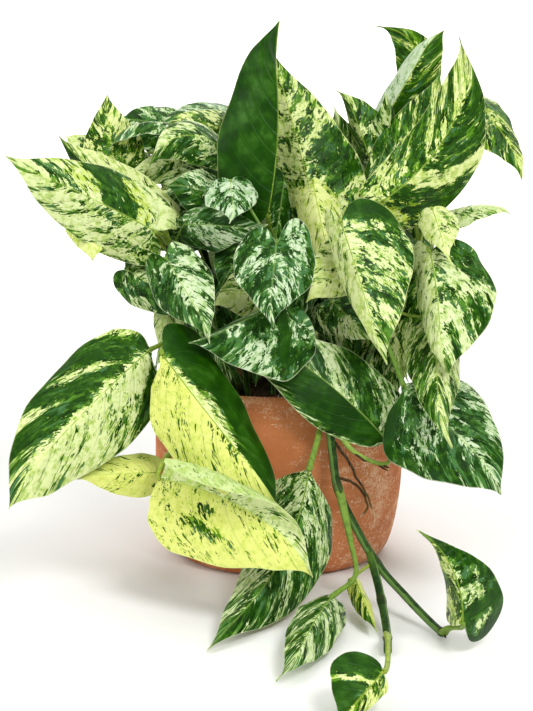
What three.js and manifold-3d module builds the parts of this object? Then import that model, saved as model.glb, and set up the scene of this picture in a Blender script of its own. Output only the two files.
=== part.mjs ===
// Potted pothos: a rounded terracotta pot filled with soil, bushy leafy vines standing in it,
// and one vine that comes over the rim and trails along the ground in front.
// Millimetres, +Z up, the front of the plant looks along -Y, the pot's base centre is the origin.
import * as THREE from "three";
import { mergeVertices } from "three/addons/utils/BufferGeometryUtils.js";
import Module from "manifold-3d";

const wasm = await Module();
wasm.setup();

// ---- driving dimensions ----
const POT_HEIGHT = 145;
const POT_RIM_RADIUS = 97.5;
const POT_BELLY_RADIUS = 102;
const POT_FOOT_RADIUS = 84;
const POT_WALL = 7;
const POT_FLOOR = 10;
const SOIL_DEPTH_BELOW_RIM = 17;
const SOIL_GAP = 0.4;
const HOLE_DEPTH = 14;
const HOLE_GAP = 0.6;
const BLADE_THICKNESS = 0.9;
const LARGE_BLADE = 7200;
const NOTCH_HALF_WIDTH = 1.3;
const PETIOLE_RADIUS = 1.7;
const STEM_RADIUS = 3.1;
const ROOT_RADIUS = 1.0;
const POT_SIDES = 36;

const SOIL_TOP = POT_HEIGHT - SOIL_DEPTH_BELOW_RIM;

// ---- materials ----
const finish = (color, roughness) => new THREE.MeshStandardMaterial({ color, roughness, metalness: 0 });
const terracotta = finish(0xb5673f, 0.8);
const earth = finish(0x3a2a1f, 0.95);
const foliage = finish(0x5f8a34, 0.45);

// ---- small helpers ----
const vec = (list) => new THREE.Vector3(list[0], list[1], list[2]);
const radians = THREE.MathUtils.degToRad;

function toSolid(geometry) {
  geometry.deleteAttribute("normal");
  geometry.deleteAttribute("uv");
  const welded = mergeVertices(geometry, 1e-4);
  const vertProperties = new Float32Array(welded.attributes.position.array);
  const triVerts = new Uint32Array(welded.index.array);
  return new wasm.Manifold(new wasm.Mesh({ numProp: 3, vertProperties, triVerts }));
}

function toMesh(solid, name, material) {
  const data = solid.getMesh();
  const geometry = new THREE.BufferGeometry();
  geometry.setAttribute("position", new THREE.BufferAttribute(data.vertProperties, 3));
  geometry.setIndex(new THREE.BufferAttribute(data.triVerts, 1));
  geometry.computeVertexNormals();
  const mesh = new THREE.Mesh(geometry, material);
  mesh.name = name;
  return mesh;
}

function closedSurface(points, faces) {
  const geometry = new THREE.BufferGeometry();
  const coordinates = points.flatMap((point) => [point.x, point.y, point.z]);
  geometry.setAttribute("position", new THREE.Float32BufferAttribute(coordinates, 3));
  geometry.setIndex(faces);
  return geometry;
}

// A repeatable random draw between 0 and 1.
function randomDraw(seed) {
  let state = seed;
  return () => {
    state = (state * 48271) % 2147483647;
    return state / 2147483647;
  };
}

// ---- tubes: stems, petioles and roots ----
function tube(path, radii, sides) {
  const points = [];
  const faces = [];
  const count = path.length;
  let normal = null;
  for (let i = 0; i < count; i += 1) {
    const ahead = path[Math.min(i + 1, count - 1)];
    const behind = path[Math.max(i - 1, 0)];
    const along = ahead.clone().sub(behind).normalize();
    if (normal === null) {
      const seed = Math.abs(along.y) < 0.9 ? new THREE.Vector3(0, 1, 0) : new THREE.Vector3(1, 0, 0);
      normal = seed.clone();
    }
    normal.sub(along.clone().multiplyScalar(normal.dot(along))).normalize();
    const side = along.clone().cross(normal);
    for (let k = 0; k < sides; k += 1) {
      const angle = (2 * Math.PI * k) / sides;
      const offset = normal.clone().multiplyScalar(Math.cos(angle) * radii[i]);
      offset.add(side.clone().multiplyScalar(Math.sin(angle) * radii[i]));
      points.push(path[i].clone().add(offset));
    }
  }
  for (let i = 0; i < count - 1; i += 1) {
    for (let k = 0; k < sides; k += 1) {
      const a = i * sides + k;
      const b = i * sides + ((k + 1) % sides);
      faces.push(a, b, b + sides, a, b + sides, a + sides);
    }
  }
  const last = (count - 1) * sides;
  for (let k = 1; k < sides - 1; k += 1) {
    faces.push(0, k + 1, k);
    faces.push(last, last + k, last + k + 1);
  }
  return toSolid(closedSurface(points, faces));
}

function smoothPath(points, steps) {
  return new THREE.CatmullRomCurve3(points, false, "centripetal").getPoints(steps);
}

// ---- leaf blade ----
// Each row runs from the midrib (rib, along the length) out to the edge, swept as the side veins are.
const LEAF_ROWS = [
  { out: 0.4, along: 0, lobe: 1.0, rib: 0.02 },
  { out: 0.84, along: 0.05, lobe: 0.5, rib: 0.02 },
  { out: 1.0, along: 0.2, lobe: 0, rib: 0.1 },
  { out: 0.9, along: 0.45, lobe: 0, rib: 0.3 },
  { out: 0.57, along: 0.71, lobe: 0, rib: 0.54 },
  { out: 0.21, along: 0.9, lobe: 0, rib: 0.78 },
];

function leafFrame(leaf) {
  const base = vec(leaf.base);
  const axis = vec(leaf.tip).sub(base);
  const length = axis.length();
  axis.normalize();
  const face = vec(leaf.face);
  face.sub(axis.clone().multiplyScalar(face.dot(axis))).normalize();
  return { base, axis, face, side: axis.clone().cross(face), length };
}

// A point of the blade: side +1 is the leaf's own right half, across 0 (midrib) to 1 (edge).
function bladePoint(leaf, frame, side, row, across) {
  const { base, axis, face, length } = frame;
  const { arch = 0.06, bow = 0, curl = 20, twist = 0, wave = 0.012 } = leaf;
  const lobe = (side > 0 ? leaf.lobeRight : leaf.lobeLeft) ?? leaf.lobe ?? 0.1;
  const belly = (side > 0 ? leaf.bellyRight : leaf.bellyLeft) ?? leaf.belly ?? 0;
  const edgeAlong = row.along + belly * row.along * (1 - row.along) - row.lobe * lobe;
  const along = row.rib + (edgeAlong - row.rib) * across;
  const share = (side > 0 ? leaf.shareRight : leaf.shareLeft) ?? 1;
  const neck = (side > 0 ? leaf.neckRight : leaf.neckLeft) ?? 0;
  const reach = (row.out * (1 - neck * row.lobe) * across * leaf.width * share) / 2;
  const bend = 4 * along * (1 - along);
  const turn = radians(twist) * (along - 0.5);
  const normal = face.clone().applyAxisAngle(axis, turn);
  const sideways = frame.side.clone().applyAxisAngle(axis, turn);
  const fold = radians(side > 0 ? leaf.right : leaf.left);
  const roll = radians(curl) * across * row.out + 1e-6;
  const flat = (Math.sin(fold + roll) - Math.sin(fold)) / roll;
  const drop = (Math.cos(fold) - Math.cos(fold + roll)) / roll;
  const ripple = wave * length * across * across * Math.sin(2 * Math.PI * (1.5 * along + 0.2 * side));
  const point = base.clone();
  point.add(axis.clone().multiplyScalar(along * length));
  point.add(face.clone().multiplyScalar(arch * length * bend));
  point.add(frame.side.clone().multiplyScalar(bow * length * bend));
  point.add(sideways.multiplyScalar(side * reach * flat));
  point.add(normal.multiplyScalar(ripple - reach * drop));
  return point;
}

function addFace(faces, corners, side) {
  if (new Set(corners).size === 3) {
    faces.push(side > 0 ? corners : [corners[0], corners[2], corners[1]]);
  }
}

// One skin of the blade: its points, its triangles, its edge and the notch where the petiole joins.
function bladeSkin(leaf, frame) {
  const columns = frame.length * leaf.width > LARGE_BLADE ? 2 : 1;
  const points = [];
  const faces = [];
  const edges = {};
  const notch = {};
  const midrib = new Map();
  for (const rib of [...new Set(LEAF_ROWS.map((row) => row.rib)), 1]) {
    midrib.set(rib, points.length);
    points.push(bladePoint(leaf, frame, 1, { out: 0, along: rib, lobe: 0, rib }, 0));
  }
  for (const side of [1, -1]) {
    notch[side] = points.length;
    points.push(frame.base.clone().add(frame.side.clone().multiplyScalar(side * NOTCH_HALF_WIDTH)));
    const rows = LEAF_ROWS.map((row) => {
      const indices = [midrib.get(row.rib)];
      for (let c = 1; c <= columns; c += 1) {
        indices.push(points.length);
        points.push(bladePoint(leaf, frame, side, row, c / columns));
      }
      return indices;
    });
    rows.push(new Array(columns + 1).fill(midrib.get(1)));
    addFace(faces, [rows[0][0], notch[side], rows[0][1]], side);
    for (let r = 0; r < rows.length - 1; r += 1) {
      for (let c = 0; c < columns; c += 1) {
        addFace(faces, [rows[r][c], rows[r][c + 1], rows[r + 1][c + 1]], side);
        addFace(faces, [rows[r][c], rows[r + 1][c + 1], rows[r + 1][c]], side);
      }
    }
    edges[side] = [notch[side], ...rows[0].slice(1), ...rows.slice(1).map((row) => row[columns])];
  }
  faces.push([midrib.get(LEAF_ROWS[0].rib), notch[-1], notch[1]]);
  return { points, faces, edge: [...edges[1], ...edges[-1].reverse().slice(1)], notch };
}

// How far each point of the skin moves to give the blade its thickness, measured square to its faces.
function skinOffsets(points, faces) {
  const normals = points.map(() => new THREE.Vector3());
  const flats = faces.map((face) => {
    const [a, b, c] = face.map((index) => points[index]);
    const normal = b.clone().sub(a).cross(c.clone().sub(a));
    face.forEach((index) => normals[index].add(normal));
    return normal.normalize();
  });
  normals.forEach((normal) => normal.normalize());
  const tightest = points.map(() => 1);
  faces.forEach((face, f) => {
    face.forEach((index) => {
      tightest[index] = Math.min(tightest[index], Math.max(0.4, normals[index].dot(flats[f])));
    });
  });
  return normals.map((normal, index) => normal.multiplyScalar(BLADE_THICKNESS / 2 / tightest[index]));
}

// ---- petiole: from the underside of the leaf's base to the stem ----
function petiolePath(leaf, frame, stemPoint) {
  const end = frame.base.clone();
  if (leaf.via) {
    return smoothPath([end, ...leaf.via.map(vec).reverse(), stemPoint], 6);
  }
  const reach = end.distanceTo(stemPoint);
  const leave = end.clone().sub(stemPoint).normalize().add(new THREE.Vector3(0, 0, 0.5)).normalize();
  const arrive = leaf.arrive ? vec(leaf.arrive) : frame.axis.clone().add(frame.face);
  arrive.normalize();
  const curve = new THREE.CubicBezierCurve3(
    end,
    end.clone().sub(arrive.multiplyScalar(reach * 0.33)),
    stemPoint.clone().add(leave.multiplyScalar(reach * 0.38)),
    stemPoint,
  );
  return curve.getPoints(4);
}

// The whole leaf as one solid: two skins of the same triangles joined round the edge, and a
// four-sided petiole that grows out of the notch.
function leafSolid(leaf, stemPoint) {
  const frame = leafFrame(leaf);
  const { points, faces, edge, notch } = bladeSkin(leaf, frame);
  const offsets = skinOffsets(points, faces);
  const count = points.length;
  const upper = points.map((point, index) => point.clone().add(offsets[index]));
  const lower = points.map((point, index) => point.clone().sub(offsets[index]));
  const skin = [...upper, ...lower];
  const triangles = [];
  for (const [a, b, c] of faces) {
    triangles.push(a, b, c, a + count, c + count, b + count);
  }
  for (let k = 0; k < edge.length - 1; k += 1) {
    const [a, b] = [edge[k], edge[k + 1]];
    triangles.push(b, a, a + count, b, a + count, b + count);
  }
  const path = petiolePath(leaf, frame, stemPoint);
  const size = PETIOLE_RADIUS * THREE.MathUtils.clamp(leaf.width / 70, 0.7, 1.15);
  let ring = [notch[1], notch[-1], notch[-1] + count, notch[1] + count];
  const face = frame.face.clone();
  for (let i = 1; i < path.length; i += 1) {
    const ahead = path[Math.min(i + 1, path.length - 1)];
    const along = ahead.clone().sub(path[i - 1]).normalize();
    face.sub(along.clone().multiplyScalar(face.dot(along))).normalize();
    const side = face.clone().cross(along);
    const next = [[1, 1], [-1, 1], [-1, -1], [1, -1]].map(([toSide, toFace]) => {
      const point = path[i].clone().add(side.clone().multiplyScalar(toSide * size * 0.8));
      skin.push(point.add(face.clone().multiplyScalar(toFace * size * 0.8)));
      return skin.length - 1;
    });
    for (let k = 0; k < 4; k += 1) {
      const m = (k + 1) % 4;
      triangles.push(ring[k], ring[m], next[m], ring[k], next[m], next[k]);
    }
    ring = next;
  }
  triangles.push(ring[0], ring[1], ring[2], ring[0], ring[2], ring[3]);
  return toSolid(closedSurface(skin, triangles));
}

// ---- the leaves seen from the front ----
// face: the way the upper surface looks; left and right: how far each half folds away from it, as
// seen on the upper surface with the tip pointing away; at: where the petiole leaves the stem.
const FRONT_LEAVES = [
  { vine: "crown", at: 0.85, base: [-9, -65, 280], tip: [-8, -48, 427], face: [0, -1, 0.1],
    width: 96, left: 8, right: 95, shareRight: 0.75, bow: 0.05, arch: 0.03, belly: 0.5 },
  { vine: "crown", at: 1.0, base: [28, -40, 281], tip: [-7, -5, 410], face: [0.1, -1, 0.1],
    width: 98, left: 50, right: 5, arch: 0.03, belly: -0.5 },
  { vine: "right_top", at: 0.85, base: [86, 15, 354], tip: [126, 10, 427], face: [0.2, -1, 0.2],
    width: 50, left: 15, right: 40 },
  { vine: "right_top", at: 1.0, base: [116, 35, 372], tip: [84, 30, 431], face: [0, -1, 0.3],
    width: 38, left: 25, right: 25, bow: 0.2 },
  { vine: "right_top", at: 0.7, base: [74, -4, 316], tip: [51, 4, 378], face: [0, -1, 0.2],
    width: 56, left: 65, right: 10, shareLeft: 0.7 },
  { vine: "right_upper", at: 0.9, base: [75, -75, 290], tip: [144, -45, 411], face: [0.15, -1, 0.25],
    width: 94, left: 40, right: 25, shareLeft: 0.8, bow: 0.13, arch: 0.05, belly: 0.3,
    lobeLeft: 0, lobeRight: 0.15 },
  { vine: "right_upper", at: 1.0, base: [86, -18, 305], tip: [136, 12, 390], face: [0.2, -1, 0.3],
    width: 52, left: 20, right: 40 },
  { vine: "right_upper", at: 1.0, base: [146, -22, 372], tip: [189, -42, 307], face: [0.5, -0.8, 0.3],
    width: 62, left: 15, right: 20, shareRight: 0.8, arch: 0.1, lobe: 0.02 },
  { vine: "right_side", at: 1.0, base: [130, -30, 280], tip: [177, -60, 285], face: [0, -0.5, 0.9],
    width: 36, left: 15, right: 20 },
  { vine: "right_side", at: 0.9, base: [118, -95, 285], tip: [121, -130, 247], face: [0, -1, 0.4],
    width: 42, left: 25, right: 25 },
  { vine: "right_side", at: 0.75, base: [110, -105, 256], tip: [114, -148, 172], face: [0.2, -1, 0.2],
    width: 104, left: 5, right: 65, shareRight: 0.5, arch: 0.08, lobe: 0.15, belly: 0.2 },
  { vine: "right_lower", at: 1.0, base: [116, -80, 204], tip: [109, -190, 130], face: [0, -0.7, 0.7],
    width: 52, left: 28, right: 28, arch: 0.04, via: [[96, -80, 206]] },
  { vine: "right_lower", at: 0.9, base: [92, -48, 226], tip: [94, -72, 152], face: [-0.2, -1, 0.2],
    width: 40, left: 20, right: 25 },
  { vine: "right_lower", at: 0.75, base: [90, -125, 160], tip: [161, -162, 92], face: [0.15, -1, 0.5],
    width: 92, left: 15, right: 8, lobe: -0.04, neckLeft: 0.2, neckRight: 0.6, belly: 0.35,
    via: [[80, -84, 186]] },
  { vine: "center_right", at: 1.0, base: [44, -108, 278], tip: [73, -148, 179], face: [0.1, -1, 0.15],
    width: 96, left: 5, right: 55, shareRight: 0.5, lobe: 0.15 },
  { vine: "center_right", at: 0.85, base: [59, -80, 251], tip: [18, -98, 220], face: [0.1, -1, -0.1],
    width: 46, left: 15, right: 20 },
  { vine: "center_right", at: 0.6, base: [39, -62, 215], tip: [70, -88, 186], face: [0, -1, 0.3],
    width: 42, left: 20, right: 20 },
  { vine: "center", at: 1.0, base: [-3, -122, 264], tip: [-9, -152, 208], face: [0, -1, 0.2],
    width: 66, left: 15, right: 15, lobeRight: 0.3, lobeLeft: 0.5 },
  { vine: "center", at: 0.7, base: [6, -112, 221], tip: [-64, -142, 191], face: [-0.1, -1, 0.25],
    width: 106, left: 5, right: 65, shareRight: 0.45, lobe: 0.12, belly: 0.25 },
  { vine: "center", at: 0.8, base: [-10, -72, 226], tip: [-52, -96, 217], face: [-0.1, -1, 0.3],
    width: 44, left: 20, right: 20, lobe: 0.04 },
  { vine: "center", at: 0.95, base: [-37, -85, 307], tip: [-33, -110, 278], face: [0, -1, 0.2],
    width: 44, left: 25, right: 15, lobe: 0.2 },
  { vine: "inner", at: 1.0, base: [-42, -30, 329], tip: [-102, -45, 318], face: [-0.1, -1, 0.4],
    width: 46, left: 25, right: 25, bow: 0.26 },
  { vine: "inner", at: 0.95, base: [-43, -10, 311], tip: [-111, -14, 308], face: [0, -0.9, 0.5],
    width: 32, left: 20, right: 20 },
  { vine: "inner", at: 0.85, base: [-38, -36, 292], tip: [-88, -46, 304], face: [0, -1, 0.3],
    width: 48, left: 15, right: 20 },
  { vine: "inner", at: 0.6, base: [-20, -46, 262], tip: [-48, -74, 224], face: [0, -1, 0.2],
    width: 46, left: 20, right: 20 },
  { vine: "left_top", at: 0.8, base: [-42, -3, 339], tip: [-81, 1, 351], face: [0, -0.8, 0.6],
    width: 34, left: 20, right: 20, arch: 0.12 },
  { vine: "left_top", at: 0.85, base: [-41, 15, 348], tip: [-85, 20, 354], face: [0, -0.7, 0.7],
    width: 36, left: 15, right: 15 },
  { vine: "left_top", at: 0.9, base: [-87, 28, 340], tip: [-131, 38, 356], face: [0, -0.8, 0.6],
    width: 36, left: 15, right: 15 },
  { vine: "left_top", at: 1.0, base: [-87, -6, 349], tip: [-134, -30, 331], face: [-0.2, -0.3, 1],
    width: 28, left: 25, right: 25, arch: 0.16 },
  { vine: "left_top", at: 1.0, base: [-130, -15, 309], tip: [-138, -8, 373], face: [0, -1, 0.3],
    width: 56, left: 20, right: 20 },
  { vine: "left_top", at: 0.95, base: [-145, 14, 328], tip: [-175, 16, 338], face: [0, -0.8, 0.5],
    width: 26, left: 15, right: 15 },
  { vine: "left_top", at: 0.9, base: [-104, 6, 310], tip: [-126, 2, 328], face: [0, -0.8, 0.4],
    width: 28, left: 15, right: 15 },
  { vine: "left", at: 1.0, base: [-94, -78, 269], tip: [-205, -92, 324], face: [-0.1, -1, 0.35],
    width: 78, left: 28, right: 25, arch: 0.08 },
  { vine: "left", at: 0.95, base: [-89, -48, 269], tip: [-172, -52, 337], face: [-0.1, -1, 0.3],
    width: 58, left: 45, right: 25 },
  { vine: "left", at: 0.9, base: [-116, -62, 262], tip: [-166, -75, 271], face: [-0.1, -1, -0.1],
    width: 62, left: 8, right: 60 },
  { vine: "left", at: 0.9, base: [-72, -62, 273], tip: [-11, -95, 270], face: [0, -1, 0.4],
    width: 46, left: 20, right: 45 },
  { vine: "left_mid", at: 1.0, base: [-84, -102, 251], tip: [-47, -145, 197], face: [0, -1, 0.2],
    width: 54, left: 25, right: 25, lobe: 0.2 },
  { vine: "left_mid", at: 0.9, base: [-119, -52, 238], tip: [-60, -84, 204], face: [0, -1, 0.3],
    width: 44, left: 25, right: 20 },
  { vine: "low_left", at: 1.0, base: [-95, -122, 186], tip: [-195, -180, 86], face: [-0.15, -1, 0.3],
    width: 102, left: 32, right: 18, shareLeft: 0.88, arch: 0.08, lobe: -0.03, belly: 0.45,
    neckLeft: 0.6, neckRight: 0.4 },
  { vine: "low_left", at: 0.85, base: [-84, -150, 187], tip: [1, -191, 89], face: [-0.2, -1, 0.25],
    width: 90, left: 52, right: 5, twist: -30, lobeLeft: 0.14, lobeRight: -0.04, neckRight: 0.6,
    belly: 0.6 },
  { vine: "low_yellow", at: 1.0, base: [-86, -165, 100], tip: [25, -215, 51], face: [0, -1, 0.3],
    width: 100, left: 60, right: 5, shareLeft: 0.85, bow: -0.08, lobe: 0, neckRight: 0.3, belly: 0.3 },
  { vine: "low_yellow", at: 0.9, base: [-90, -135, 97], tip: [-147, -150, 98], face: [-0.1, -1, 0.4],
    width: 38, left: 25, right: 25 },
  { vine: "trailing", at: 0.3, base: [21, -131, 98], tip: [-54, -240, 5], face: [0.25, -0.65, 0.65],
    width: 86, left: 25, right: 45, bow: -0.1, arch: -0.04, via: [[30, -106, 126]] },
  { vine: "trailing", at: 0.38, base: [83, -108, 111], tip: [-32, -102, 200], face: [0.1, -1, 0.35],
    width: 74, left: 0, right: 12, bow: 0.05, arch: 0.04, curl: 8, bellyLeft: 0.9,
    lobeRight: 0.05, lobeLeft: -0.04, neckLeft: 0.8, via: [[62, -122, 105], [78, -126, 99]] },
  { vine: "trailing", at: 0.5, base: [35, -202, 26], tip: [1, -306, 7], face: [0, -0.4, 1],
    width: 46, left: 20, right: 20, shareLeft: 0.75, via: [[50, -140, 49], [52, -170, 32]] },
  { vine: "trailing", at: 0.68, base: [53, -168, 28], tip: [64, -216, 6], face: [0, -0.5, 0.8],
    width: 22, left: 50, right: 50 },
  { vine: "trailing", at: 1.0, base: [118, -252, 26], tip: [90, -242, 87], face: [0, -1, 0.2],
    width: 80, left: 72, right: 25, bow: 0.12, belly: -0.8, lobeLeft: 0.05, lobeRight: 0.28 },
  { vine: "trailing", branch: true, at: 0.75, base: [60, -330, 25], tip: [31, -372, 11],
    face: [0, -0.8, 0.7], width: 54, left: 30, right: 5, shareLeft: 0.38, lobeLeft: -0.04,
    arch: 0.02, curl: 5 },
];

// ---- the vines: where each stands in the soil and the way its stem runs ----
const VINES = {
  crown: { root: [-5, 5], stem: [[-8, 0, 180], [-5, -15, 235], [8, -28, 258]] },
  right_top: { root: [40, 28], stem: [[58, 30, 200], [82, 26, 280], [96, 26, 335]] },
  right_upper: { root: [55, 2], stem: [[66, -8, 190], [78, -25, 250], [88, -32, 282]] },
  right_side: { root: [70, -20], stem: [[88, -26, 180], [104, -34, 235], [113, -45, 268]] },
  right_lower: { root: [55, -48], stem: [[66, -60, 165], [76, -62, 190], [79, -58, 214]] },
  center_right: { root: [28, -35], stem: [[34, -46, 190], [42, -60, 240], [46, -72, 262]] },
  center: { root: [2, -50], stem: [[0, -58, 180], [-2, -70, 225], [-2, -84, 252]] },
  inner: { root: [-26, -18], stem: [[-32, -22, 200], [-38, -24, 250], [-40, -20, 292]] },
  left_top: { root: [-38, 18], stem: [[-55, 16, 220], [-72, 12, 290], [-84, 8, 328]] },
  left: { root: [-58, -12], stem: [[-72, -24, 190], [-82, -38, 235], [-86, -50, 258]] },
  left_mid: { root: [-52, -45], stem: [[-62, -46, 180], [-70, -48, 220], [-76, -56, 250]] },
  low_left: { root: [-28, -62], stem: [[-34, -76, 160], [-44, -92, 178], [-60, -108, 190]] },
  low_yellow: {
    root: [-46, -58],
    stem: [[-50, -74, 150], [-55, -93, 152], [-64, -116, 138], [-80, -138, 112]],
  },
  trailing: {
    root: [24, -68],
    stem: [[27, -86, 150], [31, -99, 150], [37, -109, 120], [43, -114, 83], [67, -150, 37],
      [88, -176, 18], [104, -200, 6], [111, -214, 4]],
    branch: { from: 0.66, stem: [[70, -184, 18], [72, -216, 6], [70, -246, 4]] },
    roots: [
      [[38, -109, 117], [50, -114, 102], [57, -115, 88], [65, -116, 75], [71, -117, 57]],
      [[42, -113, 88], [52, -115, 85], [61, -115, 78], [65, -115, 64], [60, -114, 57]],
    ],
  },
};

// ---- pot and soil ----
const POT_PROFILE = [
  [0, 0], [POT_FOOT_RADIUS, 0], [90.5, 2], [94, 7], [96.2, 15], [98, 25], [99.8, 38], [101.2, 54],
  [POT_BELLY_RADIUS, 74], [POT_BELLY_RADIUS, 92], [101, 112], [99, 130],
  [POT_RIM_RADIUS, 142], [POT_RIM_RADIUS - 1.5, POT_HEIGHT], [POT_RIM_RADIUS - 5, POT_HEIGHT],
  [POT_RIM_RADIUS - POT_WALL, 142], [92, 124], [POT_BELLY_RADIUS - POT_WALL, 84], [92, 42],
  [82, 16], [72, POT_FLOOR], [0, POT_FLOOR],
];

function potWallInside(height) {
  const inside = POT_PROFILE.slice(-7);
  for (let i = 0; i < inside.length - 1; i += 1) {
    const [upper, lower] = [inside[i], inside[i + 1]];
    if (height <= upper[1] && height >= lower[1]) {
      const share = (height - lower[1]) / (upper[1] - lower[1]);
      return lower[0] + (upper[0] - lower[0]) * share;
    }
  }
  return 0;
}

const lathe = (profile) => {
  const outline = profile.map(([radius, height]) => new THREE.Vector2(radius, height));
  return toSolid(new THREE.LatheGeometry(outline, POT_SIDES).rotateX(Math.PI / 2));
};

function soilSolid(holes) {
  const levels = [SOIL_TOP, 84, 42, 16, POT_FLOOR + SOIL_GAP];
  const gap = SOIL_GAP / Math.cos(Math.PI / POT_SIDES);
  const side = levels.map((height) => [potWallInside(height) - gap, height]);
  const top = [[0, SOIL_TOP + 2], [40, SOIL_TOP + 1.5], [75, SOIL_TOP]];
  const bottom = [[0, POT_FLOOR + SOIL_GAP]];
  let soil = lathe(bottom.concat(side.reverse(), top.reverse()));
  const radius = STEM_RADIUS + HOLE_GAP;
  for (const [x, y] of holes) {
    const hole = new THREE.CylinderGeometry(radius, radius, HOLE_DEPTH * 2, 8);
    hole.rotateX(Math.PI / 2).translate(x, y, SOIL_TOP);
    soil = soil.subtract(toSolid(hole));
  }
  return soil;
}

// ---- the vines at the back: evenly spread around the rear, each with leaves at rising levels ----
const BACK = { vines: 5, from: 46, to: 134, root: 58, seed: 17 };
const BACK_LEVELS = [
  { baseRadius: 96, baseHeight: 172, tipRadius: 148, tipHeight: 106, width: 76 },
  { baseRadius: 92, baseHeight: 226, tipRadius: 152, tipHeight: 170, width: 74 },
  { baseRadius: 84, baseHeight: 276, tipRadius: 146, tipHeight: 240, width: 70 },
  { baseRadius: 56, baseHeight: 324, tipRadius: 118, tipHeight: 332, width: 70 },
  { baseRadius: 28, baseHeight: 320, tipRadius: 44, tipHeight: 350, width: 40 },
];

function around(azimuth, radius, height) {
  const angle = radians(azimuth);
  return [radius * Math.cos(angle), radius * Math.sin(angle), height];
}

function backFoliage() {
  const draw = randomDraw(BACK.seed);
  const spread = (amount) => (draw() * 2 - 1) * amount;
  const vines = {};
  const leaves = [];
  for (let k = 0; k < BACK.vines; k += 1) {
    const name = `back_${k + 1}`;
    const azimuth = BACK.from + ((BACK.to - BACK.from) * k) / (BACK.vines - 1);
    const [lift, push] = k % 2 === 0 ? [0, 0] : [18, 24];
    vines[name] = {
      root: around(azimuth, BACK.root, 0).slice(0, 2),
      stem: [around(azimuth, 62, 190), around(azimuth, 58, 250), around(azimuth, 40, 300 + lift)],
    };
    BACK_LEVELS.forEach((level, j) => {
      if (j === (k % 2 === 0 ? 4 : 3)) {
        return;
      }
      const swing = (j + k) % 2 === 0 ? 5 : -5;
      const tipAzimuth = azimuth + swing + spread(3);
      const tipRadius = level.tipRadius + push + spread(4);
      leaves.push({
        vine: name,
        at: [0.1, 0.42, 0.66, 0.88, 1.0][j],
        base: around(azimuth, level.baseRadius + push, level.baseHeight + lift),
        tip: around(tipAzimuth, tipRadius, level.tipHeight + lift),
        face: around(azimuth, 1, j < 3 ? 0.6 : 1.2),
        width: level.width + spread(4),
        left: 22,
        right: 22,
      });
    });
  }
  return { vines, leaves };
}

// ---- putting a vine together ----
function stemCurve(vine) {
  const [x, y] = vine.root;
  const foot = [SOIL_TOP - HOLE_DEPTH + 1, SOIL_TOP + 2, SOIL_TOP + 8].map((height) => [x, y, height]);
  return new THREE.CatmullRomCurve3(foot.concat(vine.stem).map(vec), false, "centripetal");
}

function stemPath(curve) {
  const spans = curve.points.length - 1;
  const path = [curve.getPoint(0), curve.getPoint(1 / spans)];
  for (let step = 5; step <= spans * 2; step += 1) {
    path.push(curve.getPoint(step / (spans * 2)));
  }
  return path;
}

function stemSolid(path, thick, thin) {
  const radii = path.map((point, index) => thick + ((thin - thick) * index) / (path.length - 1));
  return tube(path, radii, 6);
}

function aboveSoil(curve, share) {
  const start = 1 / (curve.points.length - 1);
  return curve.getPoint(start + share * (1 - start));
}

function vineSolid(vine, leaves) {
  const curve = stemCurve(vine);
  let solid = stemSolid(stemPath(curve), STEM_RADIUS, STEM_RADIUS * 0.75);
  let branchCurve = null;
  if (vine.branch) {
    const start = aboveSoil(curve, vine.branch.from);
    branchCurve = new THREE.CatmullRomCurve3([start, ...vine.branch.stem.map(vec)], false, "centripetal");
    solid = solid.add(stemSolid(branchCurve.getPoints(6), STEM_RADIUS * 0.75, STEM_RADIUS * 0.6));
  }
  for (const leaf of leaves) {
    const start = leaf.branch ? branchCurve.getPoint(leaf.at) : aboveSoil(curve, leaf.at);
    solid = solid.add(leafSolid(leaf, start));
  }
  for (const root of vine.roots ?? []) {
    const path = smoothPath(root.map(vec), 6);
    solid = solid.add(tube(path, path.map((point, i) => ROOT_RADIUS * (1 - 0.07 * i)), 5));
  }
  return solid;
}

// ---- the whole plant ----
const back = backFoliage();
const vines = { ...VINES, ...back.vines };
const allLeaves = [...FRONT_LEAVES, ...back.leaves];
const plant = new THREE.Group();
plant.add(toMesh(lathe(POT_PROFILE), "pot", terracotta));
plant.add(toMesh(soilSolid(Object.values(vines).map((vine) => vine.root)), "soil", earth));
for (const [name, vine] of Object.entries(vines)) {
  const leaves = allLeaves.filter((leaf) => leaf.vine === name);
  plant.add(toMesh(vineSolid(vine, leaves), `vine_${name}`, foliage));
}

export default plant;
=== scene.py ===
import math

import bpy
import numpy as np
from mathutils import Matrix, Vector, noise


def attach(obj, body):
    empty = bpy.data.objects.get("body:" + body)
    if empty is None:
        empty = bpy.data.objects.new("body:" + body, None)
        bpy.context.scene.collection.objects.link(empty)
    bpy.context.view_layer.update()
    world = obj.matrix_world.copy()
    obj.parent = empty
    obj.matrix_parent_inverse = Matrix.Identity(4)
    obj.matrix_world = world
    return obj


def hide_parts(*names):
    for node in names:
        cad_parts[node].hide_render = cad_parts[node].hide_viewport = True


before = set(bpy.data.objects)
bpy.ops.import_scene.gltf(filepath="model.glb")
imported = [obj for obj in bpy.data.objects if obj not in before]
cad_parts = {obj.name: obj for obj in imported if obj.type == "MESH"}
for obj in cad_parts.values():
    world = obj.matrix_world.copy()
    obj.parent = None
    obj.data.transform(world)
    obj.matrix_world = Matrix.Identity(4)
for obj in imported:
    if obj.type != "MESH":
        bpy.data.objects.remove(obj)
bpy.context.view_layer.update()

MM = 0.001

# ---- camera: the photograph's view, just above the pot and looking slightly down ----
CAMERA_PLACE = (-0.0102, -1.1, 0.3454)
CAMERA_PITCH = 9.508
CAMERA_LENS = 68.75

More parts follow.
